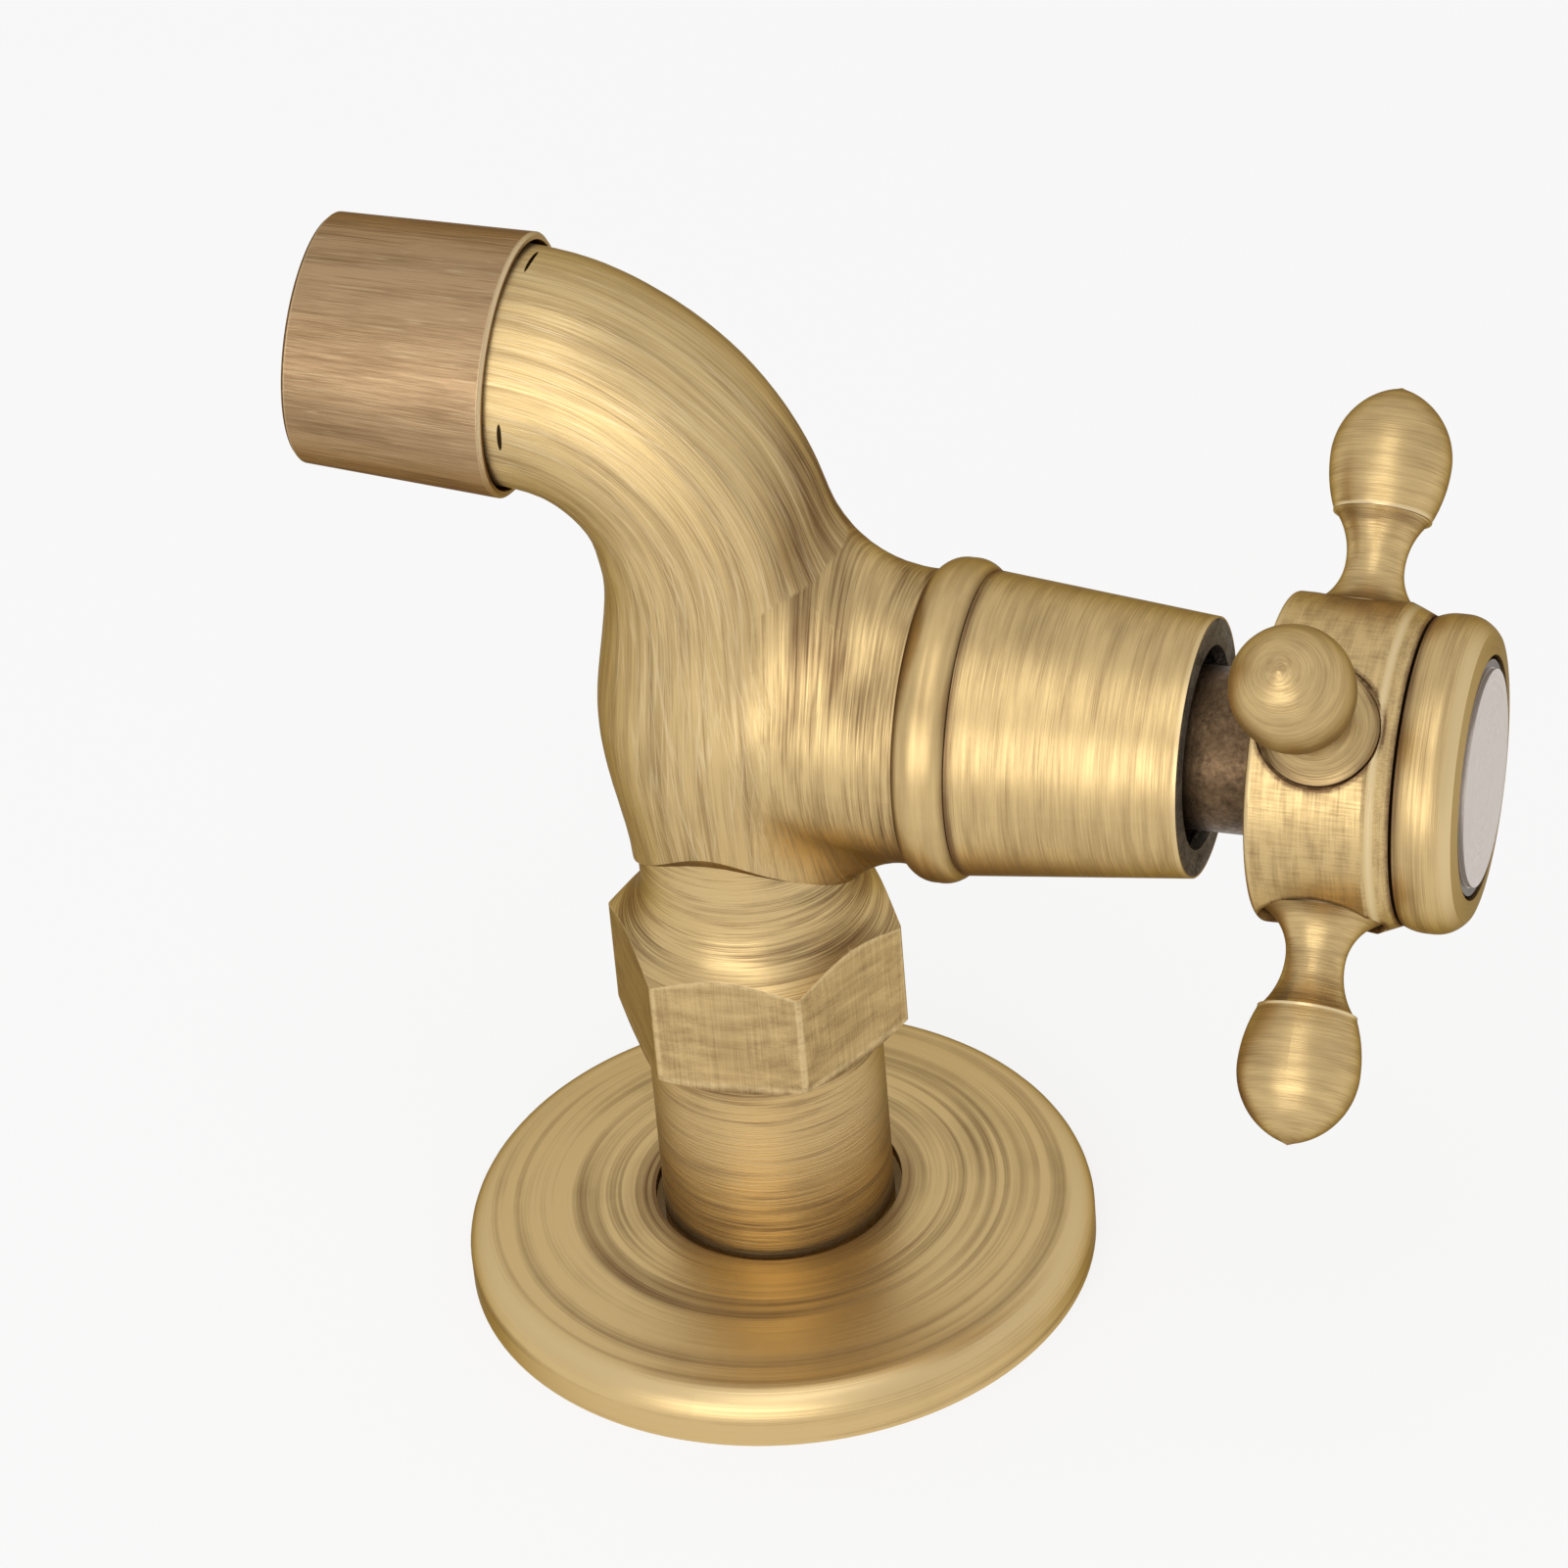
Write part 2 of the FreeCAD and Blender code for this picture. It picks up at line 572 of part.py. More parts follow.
def make_body():
    """Cast body: inlet, hexagon, bulb, tower and spout round one waterway."""
    body = new_body("body")
    cast_neck = D.neck_radius + D.neck_skin
    stations = [(0, between(NECK_START, D.tower_reach, reach_share), 0,
                 between(cast_neck, D.bulb_radius, swell_share))
                for reach_share, swell_share in BULB_SHARES]
    stations.append((D.waist_rise / 2, between(D.tower_reach, WAIST_REACH, HALF_SHARE), 0,
                     between(D.bulb_radius, D.waist_radius, HALF_SHARE)))
    stations.append((D.waist_rise, WAIST_REACH, 0, D.waist_radius))
    for bend_share, narrowing_share in BEND_SHARES:
        stations.append(along_bend(bend_share, between(D.waist_radius, D.throat_radius, narrowing_share)))
    stations.append(along_bend(1, D.spout_end_radius))
    lap = D.sleeve_lap * HALF_SHARE
    stations.append((SPOUT_END_HEIGHT - lap * sine(D.bend_angle), SPOUT_END_REACH + lap * cosine(D.bend_angle),
                     D.bend_angle, D.spout_end_radius))
    loft(body, "casting", stations, "AdditiveLoft")
    tower = spin(body, "tower", [(0, D.tower_root), (D.tower_root_radius, D.tower_root),
                                 (D.tower_radius, D.tower_top), (0, D.tower_top)],
                 role="XY_Plane", base=(0, 0, D.tower_reach))
    round_edges(body, "tower_blend_edges", tower, touches_tower_and_casting, D.tower_blend)
    belly = D.tower_reach - D.belly_drop
    beside = D.tower_radius + D.overrun
    under = NECK_START - D.overrun
    underside = extrude(body, "underside", [[
        (-beside, under), (beside, under), (beside, belly), (D.belly_radius, belly),
        Curve(D.belly_radius, right=True), (0, belly - D.belly_radius), Curve(D.belly_radius, right=True),
        (-D.belly_radius, belly), (-beside, belly)]], 2 * (D.tower_top + D.overrun), "Pocket", "XZ_Plane")
    underside.SideType = "Symmetric"
    turn_inlet(body)
    outlet_base = (0, SPOUT_END_REACH, -SPOUT_END_HEIGHT)
    spin(body, "spigot", box_outline(0, -D.overrun, D.spigot_radius, D.spigot_length),
         base=outlet_base, turn_x=D.bend_angle)
    spin(body, "inlet_waterway", box_outline(0, -D.thread_depth - D.overrun, D.inlet_bore, INLET_BORE_END),
         "Groove")
    seat_low = D.seat_height - D.seat_wall
    duct_start = INLET_BORE_END - D.inlet_bore
    duct_end = D.tower_reach + D.seat_bore
    extrude(body, "duct", [box_outline(-D.duct_width / 2, seat_low - D.duct_height, D.duct_width / 2, seat_low)],
            duct_end - duct_start, "Pocket", base=(0, 0, duct_end))
    spin(body, "valve_bore", [(0, seat_low - D.duct_height / 2), (D.seat_bore, seat_low - D.duct_height / 2),
                              (D.seat_bore, D.seat_height), (D.chamber_radius, D.seat_height),
                              (D.chamber_radius, D.chamber_top),
                              (D.headwork_thread + D.fit_gap, D.chamber_top),
                              (D.headwork_thread + D.fit_gap, SEAL_LOW), (D.counterbore_radius, SEAL_LOW),
                              (D.counterbore_radius, D.tower_top + D.overrun), (0, D.tower_top + D.overrun)],
         "Groove", role="XY_Plane", base=(0, 0, D.tower_reach))
    port_start = D.tower_reach + D.chamber_radius / 2
    passage = [(D.port_height, port_start, 0, D.port_radius),
               (D.port_height * HALF_SHARE, WAIST_REACH, 0, between(D.port_radius, D.spout_bore, HALF_SHARE))]
    for bend_share in PASSAGE_SHARES:
        passage.append(along_bend(bend_share, D.spout_bore))
    loft(body, "spout_waterway", passage, "SubtractiveLoft")
    spin(body, "outlet_waterway",
         box_outline(0, -D.overrun * HALF_SHARE, D.spout_bore + D.slack, D.spigot_length + D.overrun),
         "Groove", base=outlet_base, turn_x=D.bend_angle)
    on_inlet(body)
    return body


def make_flange():
    """Pressed wall flange, loose on the shank."""
    shoulder_radius = D.flange_radius - D.flange_shoulder
    inside = D.flange_radius - D.sheet_thickness
    return turned("wall_flange", on_inlet, [
        (inside, 0), (D.flange_radius, 0), (D.flange_radius, D.flange_skirt), Curve(D.flange_shoulder),
        (shoulder_radius, D.flange_shoulder_drop), Curve(D.flange_dome),
        (D.flange_hole, D.flange_height), (D.flange_hole, D.flange_height - D.sheet_thickness),
        Curve(D.flange_dome, right=True), (shoulder_radius, D.flange_shoulder_drop - D.sheet_thickness),
        (inside, D.flange_skirt - D.sheet_thickness)])


def make_shroud():
    """Bell-shaped shroud with a bead, clamped on the tower by the headwork."""
    bead_top = D.tower_top + D.bead_height
    middle = D.tower_top + D.bead_height / 2
    lip_low = CONE_TOP - D.shroud_lip
    return turned("valve_shroud", on_tower, [
        (D.shroud_web_hole, D.tower_top), (D.bead_foot, D.tower_top), Curve(D.bead_curve),
        (D.bead_radius, middle), Curve(D.bead_curve), (D.bead_foot, bead_top),
        (D.cone_foot_radius, bead_top), (D.cone_top_radius, CONE_TOP), (D.shroud_mouth, CONE_TOP),
        (D.shroud_mouth, lip_low), (D.cone_top_radius - D.shroud_wall, lip_low),
        (D.cone_foot_radius - D.shroud_wall, bead_top), (D.cone_foot_radius - D.shroud_wall, WEB_TOP),
        (D.shroud_web_hole, WEB_TOP)])


def make_headwork():
    """Brass headwork that screws into the tower and holds the valve."""
    body = new_body("headwork")
    cage_bore = D.disc_radius + 2 * D.fit_gap
    spindle_bore = D.spindle_radius + D.fit_gap
    extrude(body, "headwork_nut", [hexagon(D.nut_flats)], D.nut_height, base=(0, 0, NUT_LOW))
    spin(body, "headwork_turned", [
        (0, CAGE_LOW), (D.cage_radius, CAGE_LOW), (D.cage_radius, D.chamber_top + D.slack),
        (D.headwork_thread, D.chamber_top + D.slack), (D.headwork_thread, SEAL_LOW - D.slack),
        (D.relief_radius, SEAL_LOW - D.slack), (D.relief_radius, RELIEF_TOP), (D.collar_radius, RELIEF_TOP),
        (D.collar_radius, WEB_TOP), (D.collar_flange, WEB_TOP), (D.collar_flange, NUT_LOW),
        (D.gland_radius, NUT_LOW), (D.gland_radius, GLAND_TOP), (0, GLAND_TOP)])
    spin(body, "headwork_bore", [
        (0, CAGE_LOW - D.overrun), (cage_bore, CAGE_LOW - D.overrun), (cage_bore, CEILING),
        (spindle_bore, CEILING), (spindle_bore, GLAND_TOP + D.overrun), (0, GLAND_TOP + D.overrun)], "Groove")
    window_low = MOVING_DISC_LOW + D.slack
    window = box_outline(-D.cage_window / 2, window_low, D.cage_window / 2, window_low + D.cage_window_height)
    cut = extrude(body, "cage_windows", [window], 4 * D.cage_radius, "Pocket", "XZ_Plane")
    cut.SideType = "Symmetric"
    on_tower(body)
    return body


def sector(turn):
    """Outline of one opening of a ceramic disc, centred on a turn from +X."""
    first = turn - D.port_half_angle
    last = turn + D.port_half_angle
    return [(D.disc_hub * cosine(first), D.disc_hub * sine(first)),
            (D.disc_port * cosine(first), D.disc_port * sine(first)), Curve(D.disc_port),
            (D.disc_port * cosine(last), D.disc_port * sine(last)),
            (D.disc_hub * cosine(last), D.disc_hub * sine(last)), Curve(D.disc_hub, right=True)]


def make_disc(label, low, first_turn):
    body = new_body(label)
    spin(body, label + "_turned", box_outline(0, low, D.disc_radius, low + D.disc_height))
    ports = [sector(as_size(first_turn)), sector(as_size(first_turn + HALF_TURN))]
    extrude(body, label + "_ports", ports, D.disc_height + 2 * D.overrun, "Pocket",
            base=(0, 0, low + D.disc_height + D.overrun))
    return body


def make_discs():
    fixed = make_disc("fixed_disc", FIXED_DISC_LOW, 0)
    on_tower(fixed)
    moving = make_disc("moving_disc", MOVING_DISC_LOW, UPRIGHT)
    slot_width = D.tongue_width + 2 * D.fit_gap
    slot_length = D.tongue_length + 2 * D.fit_gap
    slot = box_outline(-slot_length / 2, -slot_width / 2, slot_length / 2, slot_width / 2)
    extrude(moving, "tongue_slot", [slot], D.tongue_depth + D.fit_gap, "Pocket", base=(0, 0, FOOT_LOW))
    on_tower(moving)


def make_spindle():
    """Spindle with a driving tongue, two sealing grooves and a clip groove."""
    body = new_body("spindle")
    groove = D.spindle_radius - 2 * D.ring_section
    clip_groove = CLIP_LOW - D.fit_gap
    shoulder = GLAND_TOP - D.washer_height
    outline = [(0, FOOT_LOW), (D.foot_radius, FOOT_LOW), (D.foot_radius, WASHER_LOW),
               (D.spindle_radius, WASHER_LOW)]
    for middle in (RING_LOW, RING_HIGH):
        low = middle - D.ring_groove / 2
        high = middle + D.ring_groove / 2
        outline += [(D.spindle_radius, low), (groove, low), (groove, high), (D.spindle_radius, high)]
    clip_high = CLIP_LOW + D.clip_height + D.fit_gap
    outline += [(D.spindle_radius, shoulder), (D.spindle_tip, shoulder), (D.spindle_tip, clip_groove),
                (D.clip_root, clip_groove), (D.clip_root, clip_high), (D.spindle_tip, clip_high),
                (D.spindle_tip, SPINDLE_TOP), (D.screw_radius, SPINDLE_TOP),
                (D.screw_radius, SPINDLE_TOP - D.screw_depth), (0, SPINDLE_TOP - D.screw_depth)]
    spin(body, "spindle_turned", outline)
    tongue = box_outline(-D.tongue_length / 2, -D.tongue_width / 2, D.tongue_length / 2, D.tongue_width / 2)
    extrude(body, "tongue", [tongue], D.tongue_depth, base=(0, 0, FOOT_LOW), flip=True)
    on_tower(body)


def round_ring(label, middle, section, height):
    """A rubber ring of round section on the tower axis."""
    torus = DOCUMENT.addObject("Part::Torus", label)
    torus.Label = label
    torus.setExpression("Radius1", middle.formula)
    torus.setExpression("Radius2", section.formula)
    bind_place(torus, "Placement", (0, -D.tower_reach, height))


def make_valve_seals():
    ring("seat_seal", on_tower, D.seat_bore, D.disc_radius, D.seat_height, FIXED_DISC_LOW)
    round_ring("headwork_seal", D.relief_radius + D.seal_section, D.seal_section, SEAL_LOW + D.seal_section)
    ring_middle = D.spindle_radius - D.ring_section + D.fit_gap / 2
    round_ring("spindle_ring_lower", ring_middle, D.ring_section, RING_LOW)
    round_ring("spindle_ring_upper", ring_middle, D.ring_section, RING_HIGH)
    ring("thrust_washer", on_tower, D.spindle_radius + D.fit_gap, D.foot_radius, WASHER_LOW, CEILING)


def make_circlip():
    body = new_body("circlip")
    inner = D.clip_root + D.fit_gap
    spin(body, "circlip_turned", box_outline(inner, CLIP_LOW, D.clip_radius, CLIP_LOW + D.clip_height))
    gap = box_outline(0, -D.clip_gap / 2, D.clip_radius + D.overrun, D.clip_gap / 2)
    extrude(body, "circlip_gap", [gap], D.clip_height + 2 * D.overrun, "Pocket",
            base=(0, 0, CLIP_LOW + D.clip_height + D.overrun))
    on_tower(body)


def make_stem():
    """Dark stem that carries the handle on the spindle's spline."""
    bore = D.spindle_tip + D.fit_gap
    screw_hole = D.screw_radius + D.fit_gap
    stem_top = HUB_LOW + D.stem_seat
    turned("handle_stem", on_tower, [
        (bore, STEM_LOW), (D.stem_radius, STEM_LOW), (D.stem_radius, stem_top), (D.stem_boss, stem_top),
        (D.stem_boss, HUB_WEB_LOW), (screw_hole, HUB_WEB_LOW), (screw_hole, SPINDLE_TOP + D.fit_gap),
        (bore, SPINDLE_TOP + D.fit_gap)])


def make_hub():
    """Handle hub with four sockets for the arms."""
    body = new_body("handle_hub")
    stem_top = HUB_LOW + D.stem_seat
    screw_hole = D.screw_radius + D.fit_gap
    spin(body, "hub_turned", [
        (D.stem_radius, HUB_LOW), (D.hub_radius - D.hub_edge, HUB_LOW), Curve(D.hub_edge),
        (D.hub_radius, HUB_LOW + D.hub_edge), (D.hub_radius, HUB_HIGH - D.hub_bevel),
        (D.hub_radius - D.hub_bevel_inset, HUB_HIGH), (D.hub_well, HUB_HIGH), (D.hub_well, HUB_WEB_HIGH),
        (screw_hole, HUB_WEB_HIGH), (screw_hole, HUB_WEB_LOW), (D.stem_boss, HUB_WEB_LOW),
        (D.stem_boss, stem_top), (D.stem_radius, stem_top)])
    stud_end = D.arm_foot_reach - D.arm_stud_length - D.fit_gap
    stud_hole = D.arm_stud + D.fit_gap
    socket_sketch = [(0, stud_end), (stud_hole, stud_end), (stud_hole, D.arm_foot_reach),
                     (D.socket_radius, D.arm_foot_reach), (D.socket_radius, D.hub_radius + D.overrun),
                     (0, D.hub_radius + D.overrun)]
    socket = spin(body, "arm_socket", socket_sketch, "Groove", role="XY_Plane", base=(0, 0, D.arm_height))
    pattern = body.newObject("PartDesign::PolarPattern", "arm_sockets")
    pattern.Originals = [socket]
    pattern.Axis = (origin_feature(body, "Z_Axis"), [""])
    pattern.Angle = WHOLE_TURN
    pattern.Occurrences = CROSS_ARMS
    body.Tip = pattern
    place_turned(body, D.arm_turn)


def place_turned(body, turn):
    """On the tower axis, turned about it by an angle from the sheet."""
    body.Placement = FreeCAD.Placement(FreeCAD.Vector(), FreeCAD.Rotation(FreeCAD.Vector(0, 0, 1), turn.value))
    body.setExpression("Placement.Base.y", (-D.tower_reach).formula)
    body.setExpression("Placement.Rotation.Angle", turn.formula)


def make_arms():
    """Four turned arms; each screws into the hub with its stud."""
    collar_top = D.arm_collar_reach + D.arm_ridge
    under_collar = D.arm_collar_radius - D.arm_ridge
    blunt_tip = D.arm_tip - D.arm_ridge
    low_curve = easing(D.arm_ball_reach - collar_top, D.arm_ball_radius - D.arm_collar_radius)
    tip_curve = easing(blunt_tip - D.arm_ball_reach, D.arm_ball_radius - D.arm_tip_radius)
    outline = [
        (0, D.arm_foot_reach - D.arm_stud_length), (D.arm_stud, D.arm_foot_reach - D.arm_stud_length),
        (D.arm_stud, D.arm_foot_reach), (D.arm_foot_radius, D.arm_foot_reach),
        (D.arm_foot_radius, D.arm_foot_reach + D.arm_foot_edge), Curve(D.arm_foot_curve, right=True),
        (D.arm_neck_radius, D.arm_neck_reach), Curve(D.arm_neck_curve, right=True),
        (under_collar, D.arm_collar_reach), (D.arm_collar_radius, D.arm_collar_reach),
        (D.arm_collar_radius, collar_top), Curve(low_curve), (D.arm_ball_radius, D.arm_ball_reach),
        Curve(tip_curve), (D.arm_tip_radius, blunt_tip), (0, D.arm_tip)]
    for number in range(CROSS_ARMS):
        body = new_body(f"handle_arm_{number + 1}")
        spin(body, f"arm_{number + 1}_turned", outline, role="XY_Plane", base=(0, 0, D.arm_height))
        place_turned(body, D.arm_turn + number * UPRIGHT)


def make_handle_top():
    """Screwed cap with a blank index plate, and the screw under it."""
    round_top = CAP_LOW + D.cap_round
    wall_top = round_top + D.cap_wall
    face_edge = CAP_HIGH - D.cap_face_drop
    floor_low = CAP_HIGH - D.cap_floor_depth
    floor_top = CAP_HIGH - D.index_depth
    spigot_low = CAP_LOW - D.cap_spigot_depth
    spigot_bore = D.cap_spigot - D.cap_spigot_wall
    turned("handle_cap", on_tower, [
        (0, floor_low), (spigot_bore, floor_low), (spigot_bore, spigot_low), (D.cap_spigot, spigot_low),
        (D.cap_spigot, CAP_LOW), (D.cap_root, CAP_LOW), Curve(easing(D.cap_round, D.cap_radius - D.cap_root)),
        (D.cap_radius, round_top), (D.cap_radius, wall_top),
        Curve(easing(face_edge - wall_top, D.cap_radius - D.cap_face_radius)), (D.cap_face_radius, face_edge),
        (D.index_recess, CAP_HIGH), (D.index_recess, floor_top), (0, floor_top)])
    rim_top = floor_top + D.index_rim_height
    plate_top = floor_top + D.index_height
    turned("index_plate", on_tower, [
        (0, floor_top), (D.index_rim, floor_top), (D.index_rim, rim_top), (D.index_radius, rim_top),
        (D.index_radius, plate_top), (0, plate_top)])
    head_low = HUB_WEB_HIGH + D.lock_washer_height
    ring("screw_washer", on_tower, D.screw_radius + D.fit_gap, D.lock_washer, HUB_WEB_HIGH, head_low)
    make_handle_screw(head_low)


def make_handle_screw(head_low):
    """Cheese-head screw with a hexagon socket, from the hub's web into the spindle."""
    body = new_body("handle_screw")
    thread = D.screw_radius - D.fit_gap
    thread_end = SPINDLE_TOP - D.screw_depth + D.slack
    head_high = head_low + D.screw_head_height
    spin(body, "screw_turned", [(0, thread_end), (thread, thread_end), (thread, head_low),
                                (D.screw_head, head_low), (D.screw_head, head_high), (0, head_high)])
    extrude(body, "screw_socket_cut", [hexagon(D.screw_socket)], D.screw_socket_depth, "Pocket",
            base=(0, 0, head_high))
    on_tower(body)


def make_nozzle():
    """Sleeve screwed on the spout's spigot, with its washer and aerator."""
    thread_bore = D.spigot_radius + D.fit_gap
    turned("nozzle_sleeve", on_outlet, [
        (D.sleeve_lap_bore, -D.sleeve_back), (D.sleeve_back_radius - D.sleeve_edge, -D.sleeve_back),
        (D.sleeve_back_radius, D.sleeve_edge - D.sleeve_back),
        (D.sleeve_front_radius, SLEEVE_FRONT - D.sleeve_edge),
        (D.sleeve_front_radius - D.sleeve_edge, SLEEVE_FRONT), (D.outlet_bore, SLEEVE_FRONT),
        (D.outlet_bore, AERATOR_STEP), (thread_bore, AERATOR_STEP), (thread_bore, D.sleeve_lap),
        (D.sleeve_lap_bore, D.sleeve_lap)])
    ring("outlet_washer", on_outlet, D.spout_bore, D.spigot_radius, D.spigot_length, AERATOR_LOW)
    shelf = AERATOR_FRONT - D.screen_height
    turned("aerator_housing", on_outlet, [
        (AERATOR_BORE, AERATOR_LOW), (D.spigot_radius, AERATOR_LOW), (D.spigot_radius, AERATOR_STEP),
        (AERATOR_RADIUS, AERATOR_STEP), (AERATOR_RADIUS, AERATOR_FRONT),
        (AERATOR_BORE - D.aerator_wall, AERATOR_FRONT), (AERATOR_BORE - D.aerator_wall, shelf),
        (AERATOR_BORE, shelf)])
    screen_radius = AERATOR_BORE - D.fit_gap
    for number in range(AERATOR_SCREENS):
        high = shelf - number * D.screen_spacing
        name = f"aerator_screen_{number + 1}"
        turned(name, on_outlet, box_outline(0, high - D.screen_height, screen_radius, high))
    make_jet_plate(screen_radius)


def make_jet_plate(radius):
    body = new_body("aerator_jet_plate")
    high = AERATOR_STEP + D.jet_plate_height
    spin(body, "jet_plate_turned", box_outline(0, AERATOR_STEP, radius, high))

    def one_jet(sketch):
        draw_circle(sketch, D.jet_radius, (D.jet_ring, 0))

    jet = extrude(body, "jet", [one_jet], D.jet_plate_height + 2 * D.overrun, "Pocket",
                  base=(0, 0, high + D.overrun))
    pattern = body.newObject("PartDesign::PolarPattern", "jets")
    pattern.Originals = [jet]
    pattern.Axis = (origin_feature(body, "Z_Axis"), [""])
    pattern.Angle = WHOLE_TURN
    pattern.setExpression("Occurrences", D.jet_count.formula)
    body.Tip = pattern
    on_outlet(body)


def write_parts():
    """Check every object, then write one file per piece."""
    DOCUMENT.recompute()
    for item in DOCUMENT.Objects:
        if "Invalid" in item.State or "Error" in item.State:
            raise RuntimeError(f"{item.Name} failed: {item.State}")
    pieces = [item for item in DOCUMENT.Objects if item.TypeId in ("PartDesign::Body", "Part::Torus")]
    os.makedirs("parts", exist_ok=True)
    for piece in pieces:
        shape = piece.Shape
        if shape.isNull() or not shape.isValid() or len(shape.Solids) != 1:
            raise RuntimeError(f"{piece.Label} is not one valid solid")
        shape.exportStep(f"parts/{piece.Label}.step")
        print(f"{piece.Label}: {shape.Volume / 1000:.3f} cm3")


make_body()
make_flange()
make_shroud()
make_headwork()
make_discs()
make_spindle()
make_valve_seals()
make_circlip()
make_stem()
make_hub()
make_arms()
make_handle_top()
make_nozzle()
write_parts()
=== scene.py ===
import math

import bmesh
import bpy
from bpy.props import FloatProperty, FloatVectorProperty, PointerProperty
from mathutils import Matrix, Vector


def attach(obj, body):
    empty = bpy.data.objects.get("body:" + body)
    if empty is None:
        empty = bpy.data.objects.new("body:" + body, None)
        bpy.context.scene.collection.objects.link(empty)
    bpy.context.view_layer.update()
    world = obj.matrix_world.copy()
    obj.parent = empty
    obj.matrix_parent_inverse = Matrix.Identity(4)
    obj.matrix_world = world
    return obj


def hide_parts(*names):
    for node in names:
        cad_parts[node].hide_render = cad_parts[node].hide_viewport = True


bl_info = {
    "name": "Antique brass wall tap",
    "version": (1, 0, 0),
    "blender": (4, 5, 0),
    "location": "View3D > Sidebar > Wall Tap",
    "description": "Brushed and patinated finishes for a wall tap with a cross handle",
    "category": "Material",
}

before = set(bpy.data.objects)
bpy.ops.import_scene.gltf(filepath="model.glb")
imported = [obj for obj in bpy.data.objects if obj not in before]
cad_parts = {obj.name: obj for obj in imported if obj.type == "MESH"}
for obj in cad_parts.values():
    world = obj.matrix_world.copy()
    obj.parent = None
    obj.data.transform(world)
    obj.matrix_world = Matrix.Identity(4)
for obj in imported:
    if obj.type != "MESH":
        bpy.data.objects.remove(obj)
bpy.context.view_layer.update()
MILLI = 0.001

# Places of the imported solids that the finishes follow, in millimetres and radians.
# A reach is measured from the wall along the inlet, a height from the inlet axis.
THREAD_RADIUS = 10.478
THREAD_START = -11.6
THREAD_LENGTH = 15.4
HEX_START = 27.5
HEX_HALF = 12.15  # half across the flats
HEX_TURN = math.radians(3.0)
COVE_RADIUS = 7.5  # hollow that runs from the flats into the neck
NECK_START = 45.5
NECK_RADIUS = 10.1
BELLY_REACH = 59.8  # middle of the bulb
BELLY_RADIUS = 12.9
TOWER_REACH = 64.0
TOWER_TOP = 18.6
TOWER_BRUSHED = 18.3  # radius that the tower's brushing reaches
BEND_START = 79.1
BEND_RADIUS = 18.7
BEND_TURN = math.radians(87.0)  # of the spout, downwards
SPOUT_RADIUS = 11.0
OUTLET_REACH = BEND_START + BEND_RADIUS * math.sin(BEND_TURN)
OUTLET_HEIGHT = -BEND_RADIUS * (1 - math.cos(BEND_TURN))

# Flange, shroud and handle
FLANGE_HOLE = 11.75
FLANGE_RADIUS = 29.9
BEAD_TOP = 23.5
SHROUD_FOOT_RADIUS = 13.8
SHROUD_TOP = 44.0
SHROUD_TOP_RADIUS = 11.75
HUB_LOW = 50.7
HUB_HIGH = 63.4
SOCKET_RADIUS = 5.65
ARM_HEIGHT = 56.6
ARM_TURN = math.radians(41.0)
ARM_FOOT = 13.2  # this and the next two from the tower axis
ARM_COLLAR = 22.6
ARM_TIP = 34.6
CAP_LOW = 63.7
CAP_HIGH = 69.0
PLATE_SEAT = 10.9  # radius of the recess in the cap
PLATE_FACE = 9.7  # radius of the plate's raised face

# Sleeve and screen, along the outlet axis from the spout's end
SLEEVE_BACK = -0.8
SLEEVE_FRONT = 17.8
SLEEVE_BORE = 11.25
SCREEN_RADIUS = 6.9
SCREEN_HEIGHT = 16.45

# Range that most of a noise falls in
NOISE_RANGE = (0.3, 0.7)

# Spacing, length and tilt of the three sets of scratches on the spout
SPOUT_SCRATCHES = ((0.45, 16.0, 0.14), (0.50, 18.0, -0.08), (0.32, 14.0, 0.02))

# Camera fitted to the photograph, and the point that the lamps face, in metres
CAMERA_PLACE = (0.49892, -0.43992, 0.17729)
CAMERA_RIGHT = Vector((-0.27709, 0.07194, 0.95815))
CAMERA_UP = Vector((-0.58380, -0.80462, -0.10842))
LAMP_AIM = Vector((0.0, -0.06, 0.01))


def colour(name, description, default):
    """A colour that the user can change."""
    return FloatVectorProperty(name=name, description=description, default=default, size=3,
                               min=0.0, max=1.0, subtype="COLOR")


def length(name, description, default):
    """A length in metres that the user can change."""
    return FloatProperty(name=name, description=description, default=default, unit="LENGTH")


class TapFinish(bpy.types.PropertyGroup):
    """Colours of the tap's finishes"""
    gold: colour("Brushed gold", "Brass where brushing has cleared the patina",
                 (0.69, 0.50, 0.235))
    brown: colour("Patina", "Brown that stays in hollows and between brush lines",
                  (0.22, 0.132, 0.062))
    # Pale also colours the painted highlights on shank and neck
    pale: colour("Worn edge", "Bare brass on edges that hands and cloths rub",
                 (0.88, 0.71, 0.43))
    edge: colour("Low angle", "Tone of the shine that brass keeps seen from a low angle",
                 (0.20, 0.15, 0.09))
    bronze: colour("Sleeve bronze", "Brushed colour of the outlet sleeve", (0.47, 0.31, 0.17))
    stem: colour("Stem brown", "Unbrushed colour of the handle stem", (0.105, 0.066, 0.036))
    casting: colour("Raw casting", "Grey end face of the shroud", (0.46, 0.44, 0.41))
    enamel: colour("Index plate", "Blank plate in the cap", (0.66, 0.58, 0.515))
    bare_brass: colour("Bare brass", "Machined brass of the hidden valve", (0.70, 0.50, 0.20))
    steel: colour("Steel", "Screw, clip and screens", (0.52, 0.52, 0.53))
    rubber: colour("Rubber", "Seals and washers", (0.018, 0.018, 0.019))
    ceramic: colour("Ceramic", "Valve discs", (0.80, 0.78, 0.73))
    plastic: colour("Plastic", "Jet plate and thrust washer", (0.72, 0.72, 0.70))
    housing: colour("Aerator housing", "Grey housing in the outlet", (0.11, 0.115, 0.12))


